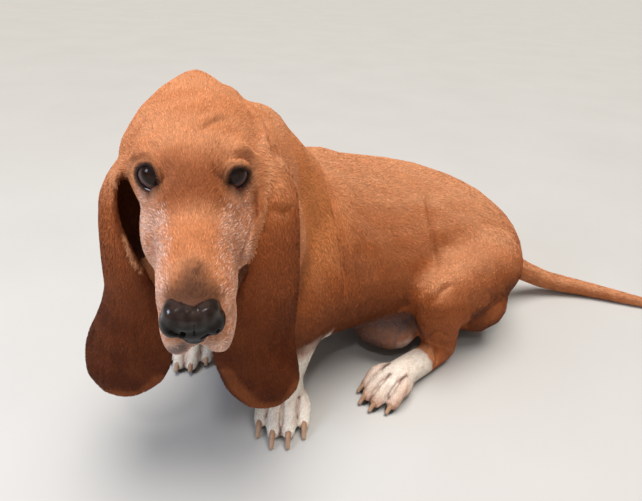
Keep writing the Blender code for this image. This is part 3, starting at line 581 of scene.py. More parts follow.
body_out = normals_of(body, quads)
print("skin moved at the lids:", len(some), "points")

# %% [markdown]
# ## Folds and creases
# A basset's skin is too large for it. It hangs in folds over the brows, wrinkles on the forehead
# when the dog looks up, and bunches at the elbow and the flank. Each fold is a stroke: a path over
# the skin, along which every point nearby is lifted or pressed. A path may be given as places in
# the picture's frame, which are looked up on the skin, so that it lies on the body from all sides.

# %% Strokes on the skin
body_tree = BVHTree.FromPolygons(body.tolist(), quads.tolist())


def seen_at(across, down):
    """The place on the skin that the camera sees at this point of its frame."""
    return body_tree.ray_cast(CAMERA_PLACE, sight(across, down))[0]


def on_skin(place):
    """The place on the skin nearest to this one."""
    return body_tree.find_nearest(place)[0]


def stroke(points, path, lift, width, fade=0.25):
    """How far a stroke along a path lifts each point, or presses it where lift is below zero."""
    moved = np.zeros(len(points))
    path = [p for p in path if p is not None]
    if len(path) < 2:
        print("a stroke found no skin")
        return moved
    path = curved(path, 3)
    corners = np.array(path)
    close = np.all((points > corners.min(0) - 3 * width) & (points < corners.max(0) + 3 * width), 1)
    some = np.flatnonzero(close)
    gap, along = gap_to_path(points[some], path)
    ends = np.clip(np.minimum(along, 1 - along) / fade, 0, 1) if fade else 1.0
    moved[some] = lift * np.exp(-(gap / width) ** 2) * ends
    return moved


# %% The folds that the picture shows
body_shift = np.zeros(len(body))


def in_view(*places):
    """A path over the skin, through places of the picture's frame."""
    spots = curved([(across, down, 0) for across, down in places], 4)
    return [seen_at(spot.x, spot.y) for spot in spots]


EAR_GAP = ((253, 188), (255, 203), (254, 220), (248.5, 238), (242, 255), (236, 270))
# Deep creases are also painted darker along their lines as painted shade, the deeper the darker,
# and the gap between the left cheek and the ear nearly black.
CREASE_DEPTH, CREASE_SHADE, CREASE_SHADE_MOST, EAR_GAP_SHADE = 0.0015, 60, 0.20, 0.85
# Each fold is its lift, its width, and the places of the frame that it passes.
FOLDS = [
    # brows: the roll of skin over each eye, and the crease under it
    (0.0024, 0.0034, (128, 172), (131, 161), (136, 155), (144, 152), (152, 155), (159, 162)),
    (-0.0020, 0.0015, (131, 170), (134, 162), (140, 158.5), (148, 158.5), (156, 163)),
    (0.0026, 0.0036, (226, 158), (233, 151), (243, 149), (252, 155), (258, 165), (260, 178)),
    (-0.0020, 0.0015, (230, 162), (238, 158.5), (246, 159.5), (252, 165), (255, 174)),
    # forehead
    (-0.0013, 0.0022, (198, 119), (203, 113), (210, 110)),
    (-0.0016, 0.0026, (200, 136), (206, 127), (218, 121), (230, 121)),
    (0.0013, 0.0036, (201, 129), (206, 120), (216, 115), (228, 115)),
    (-0.0012, 0.0060, (190, 160), (191, 140), (194, 122)),
    # under the eyes and down the cheeks
    (0.0014, 0.0026, (139, 188), (142, 196), (149, 200), (156, 199)),
    (-0.0010, 0.0024, (150, 203), (147, 211), (146, 222)),
    (0.0014, 0.0026, (229, 195), (236, 199), (245, 199), (251, 194)),
    (-0.0012, 0.0024, (240, 202), (246, 210), (250, 220)),
    (-0.0010, 0.0050, (163, 175), (166, 190), (165, 206), (160, 222)),
    (-0.0010, 0.0050, (221, 172), (219, 188), (221, 204), (228, 222)),
    # the gap between the left cheek and the ear, and the ear's loose folds
    (-0.0042, 0.0020, *EAR_GAP),
    (-0.0022, 0.0026, (256, 110), (263, 122), (269, 136), (273, 152), (278, 168), (286, 182)),
    (-0.0028, 0.0050, (268, 206), (276, 210), (286, 211), (293, 207)),
    (-0.0022, 0.0024, (271, 176), (270, 200), (266, 222), (258, 244), (250, 260)),
    (-0.0016, 0.0030, (250, 112), (256, 130), (258, 150)),
    # shoulder, flank and stifle
    (-0.0062, 0.0050, (318, 160), (332, 195), (341, 235), (346, 275), (346, 302)),
    (0.0034, 0.0110, (328, 160), (344, 195), (353, 235), (357, 270)),
    (-0.0058, 0.0052, (425, 192), (430, 215), (434, 245), (437, 276)),
    (0.0030, 0.0100, (436, 196), (443, 220), (447, 245)),
    (0.0034, 0.0044, (449, 277), (440, 284), (433, 291), (428, 299)),
    (-0.0016, 0.0030, (457, 283), (446, 289), (437, 298), (431, 307)),
    (-0.0012, 0.0022, (430, 309), (440, 312), (450, 310), (460, 304)),
    (-0.0017, 0.0020, (428, 316), (438, 318), (450, 315)),
    (-0.0026, 0.0022, (426, 336), (434, 331), (443, 332), (450, 338)),
    (-0.0018, 0.0020, (425, 345), (433, 339), (442, 342)),
    # heel of the hind foot
    (-0.0040, 0.0030, (431, 343), (436, 352), (438, 363)),
]
creases = []
for lift, width, *places in FOLDS:
    path = in_view(*places)
    body_shift = body_shift + stroke(body, path, lift, width)
    # A deep crease is kept, to be painted with shade along its line.
    if lift < -CREASE_DEPTH:
        dark = EAR_GAP_SHADE if places == [*EAR_GAP] else min(-lift * CREASE_SHADE, CREASE_SHADE_MOST)
        creases.append((path, dark, width))
print("folds:", len(FOLDS), "of them dark creases:", len(creases))

# %% The lips' line and the clefts between the toes
MOUTH = [(0.0010, 0.0080, -0.0440), (0.0120, 0.0110, -0.0585), (0.0250, 0.0330, -0.0580),
         (0.0340, 0.0700, -0.0520), (0.0400, 0.0980, -0.0380)]
TOES = [(-0.0275, 0.018), (-0.0095, 0.035), (0.0095, 0.036), (0.0275, 0.020)]
# Each paw is the place under its middle, the bearing of its toes in degrees, and its size.
PAWS = {"forepaw_left": (laid(-0.250, -0.112), -90, 1.0),
        "forepaw_right": (laid(-0.404, 0.004), -92, 1.0),
        "hindpaw_left": (laid(-0.104, -0.060), -138, 0.9),
        "hindpaw_right": (laid(-0.114, 0.326), 172, 0.9)}


def on_paw(name, across, ahead, rise):
    """A place on a paw: across its toes, ahead towards them, and up from the floor."""
    place, bearing, size = PAWS[name]
    forward = Vector((math.cos(math.radians(bearing)), math.sin(math.radians(bearing)), 0))
    side = forward.cross(Vector((0, 0, 1)))
    return place + size * (side * across + forward * ahead) + Vector((0, 0, rise * size))


mouth_lines = [[on_skin(on_head(sign * x, y, z)) for x, y, z in MOUTH] for sign in (1, -1)]
for line in mouth_lines:
    body_shift = body_shift + stroke(body, line, -0.0026, 0.0020, 0.1)
cleft_lines = []
for name in PAWS:
    for (across, reach), (next_across, next_reach) in zip(TOES, TOES[1:]):
        middle, reach = (across + next_across) / 2, min(reach, next_reach)
        places = [(0.80, reach - 0.040, 0.038), (0.95, reach - 0.020, 0.036),
                  (1.0, reach - 0.004, 0.026), (1.05, reach + 0.004, 0.012)]
        cleft_lines.append([on_skin(on_paw(name, middle * x, y, z)) for x, y, z in places])
        body_shift = body_shift + stroke(body, cleft_lines[-1], -0.0050, 0.0023, 0.35)
print("clefts:", len(cleft_lines), "largest move:", round(np.abs(body_shift).max() * 1000, 2), "mm")
body = body + body_out * spread(body_shift, body_edges, 1, 0.5)[:, None]
body[:, 2] = np.maximum(body[:, 2], SKIN_GAP)

# %% [markdown]
# ## A lighter skin
# So fine a mesh is needed on the face and the feet and nowhere else, so the trunk is thinned.
# The weight of a point says how much of it is kept.

# %% Thin the skin
SKIN_TRIANGLES = 195000
KEEP = {"torso": 0.0, "neck": 0.1, "thigh": 0.1, "shoulder": 0.1, "tail": 0.1, "forearm": 0.2,
        "shank": 0.3, "head": 0.75, "ear": 0.3, "forepaw": 0.7, "hindpaw": 0.7}

skin = shown(mesh_from("skin", body, quads), "skin")
keep = spread(by_name(body_names, KEEP, 0.9), body_edges, 20)
for side in SIDES:
    keep = np.maximum(keep, 1 - eased(far_from(body, eye_place[side]), 0.020, 0.030))
for path, _, width in creases:
    keep = np.maximum(keep, 0.6 * stroke(body, path, 1.0, 2.5 * width, 0))
group = skin.vertex_groups.new(name="keep")
for level in range(11):
    members = np.flatnonzero(np.round(keep * 10) == level)
    group.add(members.tolist(), 1.0 - level / 10, "REPLACE")
thin = skin.modifiers.new("thin", "DECIMATE")
thin.vertex_group, thin.vertex_group_factor = group.name, 1.0
thin.use_collapse_triangulate = True
thin.ratio = SKIN_TRIANGLES / (2 * len(quads))
applied(skin)
skin.vertex_groups.clear()
skin_points, skin_faces = mesh_arrays(skin.data)
skin_out = normals_of(skin_points, skin_faces)
skin_edges = edges_of(skin_faces)
skin_names = names_of(skin_points)
skin_tree = BVHTree.FromPolygons(skin_points.tolist(), skin_faces.tolist())
print("skin triangles:", len(skin_faces))

# %% [markdown]
# ## The lie of the coat
# Hair grows away from the nose: up the bridge, over the skull, down the neck, along the back to
# the tail, and down each leg to the toes. Every part has a line that gives its way, and the ways
# are spread over the skin until they run into each other as the real coat does.

# %% Which way the hair lies
LINES = {name: [laid(*place) for place in path] for name, path in {
    "neck": [(-0.292, -0.036, 0.290), (-0.236, 0.044, 0.205)],
    "torso": [(-0.335, -0.108, 0.190), (-0.250, 0.012, 0.182), (-0.175, 0.088, 0.162),
              (-0.090, 0.142, 0.145), (0.044, 0.180, 0.110), (0.120, 0.188, 0.080)],
    "tail": [(0.118, 0.196, 0.086), (0.168, 0.224, 0.060), (0.230, 0.240, 0.029),
             (0.310, 0.236, 0.016), (0.400, 0.210, 0.010), (0.482, 0.186, 0.007)],
    "ear_left": [(-0.288, -0.160, 0.404), (-0.241, -0.177, 0.367),
                 (-0.240, -0.192, 0.304), (-0.268, -0.210, 0.200),
                 (-0.263, -0.207, 0.115)],
    "ear_right": [(-0.354, -0.172, 0.404), (-0.4035, -0.189, 0.367),
                  (-0.409, -0.205, 0.296), (-0.410, -0.214, 0.200),
                  (-0.421, -0.210, 0.126)],
    "shoulder_left": [(-0.216, -0.004, 0.285), (-0.228, -0.052, 0.126)],
    "shoulder_right": [(-0.292, 0.046, 0.285), (-0.358, 0.046, 0.128)],
    "forearm_left": [(-0.228, -0.052, 0.126), (-0.250, -0.088, 0.062)],
    "forearm_right": [(-0.358, 0.046, 0.128), (-0.390, 0.018, 0.062)],
    "forepaw_left": [(-0.250, -0.080, 0.070), (-0.250, -0.150, 0.010)],
    "forepaw_right": [(-0.396, 0.030, 0.070), (-0.406, -0.036, 0.010)],
    "thigh_left": [(0.066, 0.112, 0.112), (-0.040, 0.010, 0.136)],
    "thigh_right": [(0.058, 0.246, 0.092), (-0.078, 0.286, 0.080)],
    "shank_left": [(-0.040, 0.010, 0.136), (-0.014, 0.026, 0.030)],
    "shank_right": [(-0.078, 0.286, 0.080), (0.012, 0.314, 0.030)],
    "hindpaw_left": [(-0.014, 0.026, 0.040), (-0.104, -0.060, 0.030),
                     (-0.130, -0.090, 0.008)],
    "hindpaw_right": [(0.012, 0.314, 0.040), (-0.114, 0.326, 0.030),
                      (-0.150, 0.330, 0.008)],
}.items()}
LINES["neck"].insert(0, on_head(0, 0.20, 0.0))
DROOP = {"torso": 0.35, "neck": 0.30}


def line_way(points, path):
    """The way of the nearest stretch of a path, for each point."""
    path = np.array(path)
    return unit(np.diff(path, axis=0))[near_stretch(points, path)[1]]


def head_way(points):
    """Up the bridge, out round the eyes, over the skull and down the cheeks."""
    place = in_head(points)
    aside = np.clip(place[:, 0] / 0.05, -1, 1)
    low = np.clip((0.02 - place[:, 2]) / 0.05, 0, 1)
    way = np.column_stack([0.45 * aside, np.ones(len(points)), -0.9 * low * np.abs(aside)])
    return way @ np.array(head_axes).T


skin_way = np.zeros_like(skin_points)
for name in np.unique(skin_names):
    some = np.flatnonzero(skin_names == name)
    if name in LINES:
        skin_way[some] = line_way(skin_points[some], LINES[name])
        skin_way[some, 2] -= DROOP.get(name, 0.0)
    elif name == "head":
        skin_way[some] = head_way(skin_points[some])
skin_way = tangent(spread(skin_way, skin_edges, 40), skin_out)
print("lines of lie:", len(LINES))

# %% [markdown]
# ## The markings
# A red and white hound: the body, the skull and the tail are orange tan, the ears a deeper
# chestnut. The muzzle, the cheeks and the rims of the brows have gone pale with age. The feet,
# the elbow and the breast are cream, and the thin hair of the belly lets the greyish pink of the
# skin through. One set of rules gives the colour at any place, so that skin and coat agree.

# %% Colours of the coat and the bare skin
TAN = (0.500, 0.145, 0.042)
APRICOT = (0.720, 0.350, 0.180)
# Painted light: this brighter tan is laid on the neck below the left ear, where the head casts its
# shadow.
LIT_NECK = (0.660, 0.240, 0.078)
CHESTNUT = (0.300, 0.078, 0.025)
DEEP = (0.080, 0.017, 0.005)
FROST = (0.760, 0.520, 0.430)
CREAM = (0.940, 0.840, 0.740)
PINK = (0.480, 0.260, 0.200)
# Painted light: this pale lilac is the bluish window light painted on a flew.
LILAC = (0.860, 0.800, 0.860)
BELLY = (0.165, 0.088, 0.068)
DUSK = (0.085, 0.036, 0.022)
SOOT = (0.030, 0.014, 0.010)
SLATE = (0.105, 0.098, 0.112)
RIM = (0.016, 0.010, 0.009)


def ripple(points, size, seed):
    """A smooth uneven amount from -1 to 1 that changes over about this size."""
    draw = np.random.default_rng(seed)
    total = np.zeros(len(points))
    for _ in range(7):
        total += np.sin(points @ (draw.normal(size=3) * 2.6 / size) + draw.uniform(0, 6.28))
    return np.tanh(total / 2.2)


def patch(points, place, radius, soft=0.5):
    """1 within an egg-shaped space round a place, and 0 away from it."""
    gap = np.linalg.norm((points - np.array(place)) / np.array(radius), axis=1)
    return 1 - eased(gap, 1 - soft, 1 + soft)


def painted(colours, *layers):
    """Lays colours one over another. Each layer is an amount for every place, and a colour."""
    for amount, colour in layers:
        amount = np.clip(amount, 0, 1)[:, None]
        colours = colours * (1 - amount) + np.array(colour) * amount
    return colours


def beside(points, path, width):
    """1 on a path and 0 at this width from it."""
    return 1 - eased(gap_to_path(points, [p for p in path if p is not None])[0], 0.4 * width, width)


# %% Where the markings start and end
SHANK_LINE = {"left": [laid(-0.014, 0.026, 0.030), laid(-0.104, -0.060, 0.020)],
              "right": [laid(0.012, 0.314, 0.030), laid(-0.114, 0.326, 0.020)]}
SHANK_WAY = {side: (toes - heel).normalized() for side, (heel, toes) in SHANK_LINE.items()}
SOCK_START = {"left": seen_at(424, 351), "right": laid(-0.035, 0.317, 0.030)}
bridge_patch, nose_patch = seen_at(194, 277), seen_at(195, 297)
lip_patch, flew_painted_light = seen_at(178, 350), seen_at(161, 333)
# Painted light is laid round the first of these places, on the neck below the left ear.
neck_painted_light, under_nose = seen_at(312, 212), seen_at(196, 350)
near_rims = {"right": [level_with(*spot, -3) for spot in (
    (118, 168), (117, 190), (119, 215), (124, 236), (132, 259), (141, 271))],
             "left": in_view((268, 150), (267.5, 180), (265, 205), (261, 225), (253, 246),
                             (244, 263))}
ear_hems = {"right": in_view((86, 380), (96, 391), (118, 394), (142, 392), (160, 378)),
            "left": in_view((228, 372), (238, 387), (258, 405), (283, 402), (296, 385))}
print("rims and hems:", len(near_rims) + len(ear_hems))

# %% [markdown]
# The face comes first. Age has made the muzzle and cheeks pale, hair by hair, and the lids, lips
# and the corners of the eyes are dark. On the dog's right side, towards the window lamp, the frost
# is painted fuller and a flew is painted pale lilac, both as painted light.

# %% The face
def off_face(points):
    """How far each place is from the edge of the nearer eye's lids."""
    gaps = [gap_to_path(points, [*lid_loop[side], lid_loop[side][0]])[0] for side in SIDES]
    return np.minimum(*gaps)


def grizzled(amount, pick):
    """How pale each place is: the amount itself on the skin, and all or little of it on a hair."""
    return amount if pick is None else np.where(pick < amount, 0.82, 0.42 * amount)


def frosted(side, back, rise, window_lit_share, uneven, fine):
    """How pale age has made the sides of the bridge, the cheeks and the lips, with a share for each
    side that is larger towards the window lamp, as painted light.
    """
    bridge_side = eased(side, 0.013, 0.027) * (1 - eased(rise, 0.018, 0.036))
    frost = bridge_side * (1 - eased(back, 0.080, 0.140)) * (
        0.50 + 0.20 * uneven + 0.12 * fine) * window_lit_share
    cheek = eased(side, 0.026, 0.042) * (1 - eased(back, 0.125, 0.170)) * (
        1 - eased(rise, 0.012, 0.042))
    frost = np.maximum(frost, cheek * (0.50 + 0.22 * uneven + 0.10 * fine) * window_lit_share)
    lip = (1 - eased(back, 0.030, 0.080)) * (1 - eased(rise, -0.034, -0.014))
    return np.maximum(frost * (1 - eased(side, 0.043, 0.050)), lip * (0.72 + 0.20 * fine))


def face_marks(colours, points, place, on_face, pick):
    """The pale muzzle and cheeks, partly painted light on the side towards the window lamp, the
    dark lids and the dusky patches of the nose.
    """
    side, back, rise = np.abs(place[:, 0]), place[:, 1], place[:, 2]
    uneven, fine = ripple(points, 0.014, 5), ripple(points, 0.005, 6)
    ruddy = on_face * eased(back, 0.078, 0.100) * (1 - eased(back, 0.110, 0.138)) * (
        1 - eased(side, 0.015, 0.04))
    bridge = on_face * (1 - eased(side, 0.006, 0.020)) * (1 - eased(back, 0.050, 0.110))
    # Painted light: the frost of age is laid in full on the dog's right side, towards the window
    # lamp, and at 0.55 on its left.
    frost = frosted(side, back, rise, np.where(place[:, 0] > 0, 0.55, 1.0), uneven, fine)
    above_nose = on_face * (1 - eased(back, 0.014, 0.032)) * eased(rise, 0.002, 0.010)
    lids = off_face(points)
    corners = sum(patch(place, (sign * 0.020, 0.112, 0.020), (0.009, 0.012, 0.014), 0.6)
                  for sign in SIDES.values())
    under = (1 - eased(lids, 0.002, 0.012)) * (1 - eased(rise, 0.030, 0.044))
    lips = np.maximum(*(beside(points, line, 0.0032) for line in mouth_lines))
    return painted(
        colours,
        (ruddy * 0.75, CHESTNUT),
        (bridge * (0.16 + 0.15 * uneven), CHESTNUT),
        (on_face * grizzled(frost, pick), FROST),
        # Painted light: the flew on the dog's right is painted pale lilac, as the bluish window
        # light falls on it.
        (patch(points, flew_painted_light, (0.012, 0.016, 0.018), 0.6) * 0.75, LILAC),
        (patch(points, bridge_patch, (0.009, 0.012, 0.011), 0.7) * (0.70 + 0.20 * fine), DUSK),
        (patch(points, nose_patch, (0.022, 0.013, 0.012), 0.7) * 0.75, DUSK),
        (patch(points, lip_patch, (0.007, 0.009, 0.007), 0.5) * 0.75, SLATE),
        (above_nose * 0.70, DUSK),
        (on_face * corners * (0.45 + 0.35 * fine), DUSK),
        (on_face * under * 0.75, DUSK),
        (on_face * (1 - eased(lids, 0.0020, 0.0072)) * 0.80, DUSK),
        (1 - eased(lids, 0.0010, 0.0036), SOOT),
        (lips, RIM),
        (patch(points, under_nose, (0.013, 0.010, 0.008), 0.5) * 0.9, RIM))

# %% [markdown]
# The body is painted paler on top, as painted light, and darker on its sides and underside, as
# painted shade. The ears deepen from tan at the root to chestnut, and their lower part is painted
# near black as shade, as is the inside of the right ear. The legs are white from the elbow and the
# heel down.

# %% Body, ears and legs
def trunk_and_ears(colours, points, names, kind, out):
    """Painted light on the top of the body, painted shade on its sides and underside and in the
    ears, and the ears' deepening brown.
    """
    uneven, fine = ripple(points, 0.030, 3), ripple(points, 0.008, 4)
    upward = np.where(kind == "head", 0.60, eased(out[:, 2], 0.10, 0.95)) + 0.35 * (kind == "tail")
    trunk = np.isin(kind, ["torso", "neck", "shoulder", "thigh", "forearm", "shank"]).astype(float)
    low = trunk * (1 - eased(out[:, 2], -0.25, 0.70))
    belly = trunk * (kind != "shank") * (1 - eased(out[:, 2], -0.60, 0.22))
    fallen = np.where(names == "ear_right", 0.385, 0.365) - points[:, 2]
    ear = kind == "ear"
    cup_shade = (names == "ear_right") * eased(out[:, 0] - 0.4 * out[:, 1], 0.1, 0.7)
    rims = [(names == f"ear_{side}").astype(float) * amount * beside(points, lines[side], width)
            for side in SIDES
            for lines, width, amount in ((near_rims, 0.0024, 0.60), (ear_hems, 0.0120, 0.30))]
    return painted(
        colours,
        # Painted light: the top of the body, the head and the tail are painted paler, where the
        # light from above falls.
        (0.12 + 0.12 * uneven + 0.62 * np.minimum(upward, 1), APRICOT),
        # Painted shade: the sides of the trunk are painted darker, and its underside near black.
        (low * (0.66 + 0.12 * uneven), CHESTNUT),
        (belly * 0.75, DEEP),
        # Painted light: the neck below the left ear is painted brighter, where the head casts its
        # shadow.
        (trunk * patch(points, neck_painted_light, (0.05, 0.06, 0.07), 0.6) * 0.75, LIT_NECK),
        (ear * eased(fallen, 0.0, 0.050) * (0.85 + 0.10 * uneven), CHESTNUT),
        # Partly the ears' own deepening brown, partly painted shade: the lower ears are painted
        # near black.
        (ear * eased(fallen, 0.030, 0.185) * (0.90 + 0.08 * uneven + 0.04 * fine), DEEP),
        # Painted shade inside the right ear, on the side turned towards the head.
        (cup_shade * eased(points[:, 2], 0.22, 0.26) * 0.8, DEEP),
        *zip(rims, (APRICOT, TAN) * 2))


def leg_marks(colours, points, names, kind, out):
    """The white socks and breast, the clefts between the toes with painted shade deep in them, and
    the black soles.
    """
    uneven, fine = ripple(points, 0.030, 3), ripple(points, 0.008, 4)
    for side in SIDES:
        leg = np.isin(names, [f"shank_{side}", f"hindpaw_{side}"]).astype(float)
        ahead = (points - np.array(SOCK_START[side])) @ np.array(SHANK_WAY[side])
        sock = leg * eased(ahead + 0.002 * fine, -0.002, 0.003)
        colours = painted(colours, (sock * beside(points, SHANK_LINE[side], 0.048), CREAM))
    fore = np.isin(kind, ["forearm", "forepaw"]).astype(float)
    front = np.isin(kind, ["torso", "neck", "shoulder", "forearm"]) * eased(-out[:, 1], 0.1, 0.6)
    breast = patch(points, laid(-0.335, -0.130, 0.150), (0.070, 0.060, 0.075), 0.4)
    fore = fore * (1 - eased(points[:, 2] + 0.006 * uneven, 0.088, 0.118))
    colours = painted(colours, (fore, CREAM), (front * breast * 0.9, CREAM))
    feet = np.isin(kind, ["forepaw", "hindpaw"]).astype(float)
    # Each cleft is pinkish, and is painted nearly black along its deepest line as painted shade.
    for line in cleft_lines:
        colours = painted(colours, (feet * beside(points, line, 0.0048) * 0.60, PINK),
                          (feet * beside(points, line, 0.0022) * 0.75, SOOT))
    soles = feet * (1 - eased(points[:, 2], 0.0045, 0.0085)) * (1 - eased(out[:, 2], -0.6, -0.1))
    flushed = patch(fine[:, None] * [1, 0, 0], (1, 0, 0), (0.5, 1, 1))
    return painted(colours, (soles, RIM), (feet * flushed * 0.20, PINK))


def bare_belly(points):
    """1 where the thin hair of the belly lets the skin through."""
    return patch(points, laid(-0.100, 0.034, 0.046), (0.085, 0.060, 0.046), 0.30)


# %% All the markings together
LEATHER_TOP = 0.0118


def markings(points, names, out, pick=None):
    """The coat's colour at each place, with the painted light and shade laid in. For tufts, pick
    says how readily each one is a dark hair.
    """
    place = in_head(points)
    kind = np.char.partition(names, "_")[:, 0]
    fine = ripple(points, 0.008, 4)
    colours = trunk_and_ears(np.tile(TAN, (len(points), 1)), points, names, kind, out)
    on_face = np.isin(kind, ["head", "nose", "eye"]).astype(float)
    near = np.flatnonzero(on_face > 0)
    colours[near] = face_marks(colours[near], points[near], place[near], on_face[near],
                               None if pick is None else pick[near])
    colours = leg_marks(colours, points, names, kind, out)
    under = bare_belly(points) * (1 - beside(points, SHANK_LINE["left"], 0.056)) * ~np.isin(
        kind, ["forepaw", "head", "ear"])
    colours = painted(colours, (under * (0.90 + 0.10 * fine), BELLY),
                      (under * eased(fine, 0.0, 0.9) * 0.6, SLATE))
    # Painted shade along the deep creases and in the gap between the left cheek and the ear.
    for path, dark, width in creases:
        colours = painted(colours, (stroke(points, path, 1.0, 0.8 * width, 0.2) * dark, DEEP))
    inner = (kind == "nose") * (place[:, 2] < LEATHER_TOP)
    return painted(colours, (inner.astype(float), RIM))


skin_colours = markings(skin_points, skin_names, skin_out)
print("mean colour of the coat:", skin_colours.mean(0).round(3))

# %% [markdown]
# ## Finishes, written as sums
# A finish is a small graph of nodes. A few lines let it be written like arithmetic: a wire is the
# outlet of a node, and adding or multiplying wires lays the Math nodes between them.

# %% A wire, and a finish that holds the nodes
class Wire:
    """The outlet of a node, which can be added, taken off and multiplied."""

    def __init__(self, finish, socket):
        self.finish, self.socket = finish, socket

    def sum(self, operation, first, second):
        return self.finish.node("ShaderNodeMath", {"operation": operation}, {0: first, 1: second})

    def __add__(self, other):
        return self.sum("ADD", self, other)

    def __sub__(self, other):
        return self.sum("SUBTRACT", self, other)

    def __rsub__(self, other):
        return self.sum("SUBTRACT", other, self)

    def __mul__(self, other):
        return self.sum("MULTIPLY", self, other)

    __radd__, __rmul__ = __add__, __mul__


class Finish:
    """A material whose Principled sockets take numbers, colours or wires."""

    def __init__(self, name, **sockets):
        self.material = bpy.data.materials.new(name)
        self.material.use_nodes = True
        self.tree = self.material.node_tree
        self.shader = self.tree.nodes["Principled BSDF"]
        self.set(**sockets)

    def feed(self, socket, value):
        if isinstance(value, Wire):
            self.tree.links.new(value.socket, socket)
        elif isinstance(value, tuple) and len(value) == 3 and socket.type == "RGBA":
            socket.default_value = (*value, 1.0)
        else:
            socket.default_value = value

    def set(self, **sockets):
        for name, value in sockets.items():
            self.feed(self.shader.inputs[name.replace("_", " ")], value)

    def node(self, kind, settings=None, sockets=None, outlet=0):
        """Any node: its settings first, then its sockets, and the outlet that is wanted."""
        made = self.tree.nodes.new(kind)
        for key, value in (settings or {}).items():
            setattr(made, key, value)
        for key, value in (sockets or {}).items():
            self.feed(made.inputs[key], value)
        return Wire(self, made.outputs[outlet])

    def where(self):
        """Places in the object's own space."""
        return self.node("ShaderNodeTexCoord", outlet="Object")

    def noise(self, scale, detail=3.0, rough=0.55):
        """An uneven amount from about 0 to 1, over the object's own space."""
        return self.node("ShaderNodeTexNoise", None, {
            "Vector": self.where(), "Scale": scale, "Detail": detail, "Roughness": rough})

    def mix(self, factor, first, second, blend="MIX"):
        """Two colours mixed, or the first multiplied by the second."""
        return self.node("ShaderNodeMix", {"data_type": "RGBA", "blend_type": blend},
                         {0: factor, 6: first, 7: second}, 2)

    def colour_and_painted_light(self, outlet="Color"):
        """The colour kept at each point of the mesh, with its painted light and shade, or as Fac
        how bright it is.
        """
        return self.node("ShaderNodeAttribute", {"attribute_name": "ColourAndPaintedLight"}, None, outlet)

    def bumped(self, height, distance, strength=1.0):
        bump = self.node("ShaderNodeBump", None,
                         {"Height": height, "Distance": distance, "Strength": strength})
        self.set(Normal=bump)
        return self


# %% The coat's and the skin's finish
def short_hair(name, shade, bump):
    """Short hair: the markings, mottled a little, with a soft bloom at the edges."""
    finish = Finish(name, IOR=1.45, Sheen_Weight=0.01, Sheen_Roughness=0.4,
                    Sheen_Tint=(1.0, 0.72, 0.52), Specular_IOR_Level=0.10)
    broad = finish.noise(38.0)
    close = finish.noise(420.0, 2.0, 0.6)
    tone = shade * (0.72 + 0.56 * (0.45 * broad + 0.55 * close))
    finish.set(Base_Color=finish.mix(1.0, finish.colour_and_painted_light(), tone, "MULTIPLY"),
               Roughness=0.46 + 0.22 * close)
    return finish.bumped(close, bump)


coat_finish = short_hair("short_coat", 1.0, 0.00015)
skin_finish = short_hair("hide_under_coat", 0.85, 0.0006)


def marked(mesh, colours):
    """Keeps a colour for each point of a mesh, for its finish to read."""
    layer = mesh.attributes.new("ColourAndPaintedLight", "FLOAT_COLOR", "POINT")
    rows = np.ones((len(colours), 4), np.float32)
    rows[:, :3] = colours
    layer.data.foreach_set("color", rows.ravel())


def kept(obj, finish, slot, *nodes):
    """A piece that rides on the body, with its finish and the solids that it stands for."""
    obj.data.materials.clear()
    obj.data.materials.append(finish.material)
    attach(obj, "root")
    if nodes:
        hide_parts(*nodes)
    return obj


marked(skin.data, skin_colours)
kept(skin, skin_finish, "coat", *FLESH)

# %% [markdown]
# ## The eyes
# A dog's eye is a wet ball with a clear bulge over a dark brown iris. The lids' edges are bare and
# nearly black, a line of tears stands on the lower one, and a fold of red or bluish skin, the
# haw, shows in the inner corner of a drooping eye. Each of these is a small form of its own.

# %% Eyeballs
IRIS_RADIUS, PUPIL_RADIUS, BULGE = 0.0098, 0.0034, 0.0006
IRIS, IRIS_DEEP, WHITE = (0.034, 0.013, 0.006), (0.010, 0.004, 0.002), (0.090, 0.045, 0.040)


def mottled(name, share, scale, **sockets):
    """A finish in the colours of the markings, made uneven by a fine noise."""
    finish = Finish(name, **sockets)
    finish.set(Base_Color=finish.mix(share, finish.colour_and_painted_light(), finish.noise(scale), "MULTIPLY"))
    return finish


wet_finish = mottled("wet_eye", 0.25, 900.0, Roughness=0.08, IOR=1.40, Specular_IOR_Level=0.10,
                     Coat_Weight=0.20, Coat_Roughness=0.02)
rim_finish = mottled("lid_edge", 0.4, 900.0, Roughness=0.45, Specular_IOR_Level=0.15)


def piece(name, form, finish, slot, colours, *nodes):
    """A piece of the model from points and triangles, coloured point by point."""
    points, faces = form
    points = np.array(points, float)
    points[:, 2] = np.maximum(points[:, 2], FLOOR_GAP)
    mesh = mesh_from(name, points, faces)
    marked(mesh, np.broadcast_to(colours, points.shape))
    return kept(shown(mesh, name), finish, slot, *nodes)


def off_gaze(points, side):
    """The way of each place from the middle of an eye, and how far it is aside of the pupil."""
    way = (points - np.array(eye_place[side])) / EYE_RADIUS
    return way, EYE_RADIUS * np.arccos(np.clip(way @ np.array(gaze[side]), -1, 1))


def eye_colours(points, side):
    """Pupil, iris with its dark rim and the white round it."""
    way, aside = off_gaze(points, side)
    spokes = ripple(way * 0.01, 0.0011, 12)
    return painted(np.tile(IRIS, (len(points), 1)),
                   (0.5 + 0.4 * spokes, IRIS_DEEP),
                   (1 - eased(aside, PUPIL_RADIUS - 0.0003, PUPIL_RADIUS + 0.0003), RIM),
                   (eased(aside, IRIS_RADIUS - 0.0022, IRIS_RADIUS), RIM),
                   (eased(aside, IRIS_RADIUS + 0.0008, IRIS_RADIUS + 0.0030), WHITE))


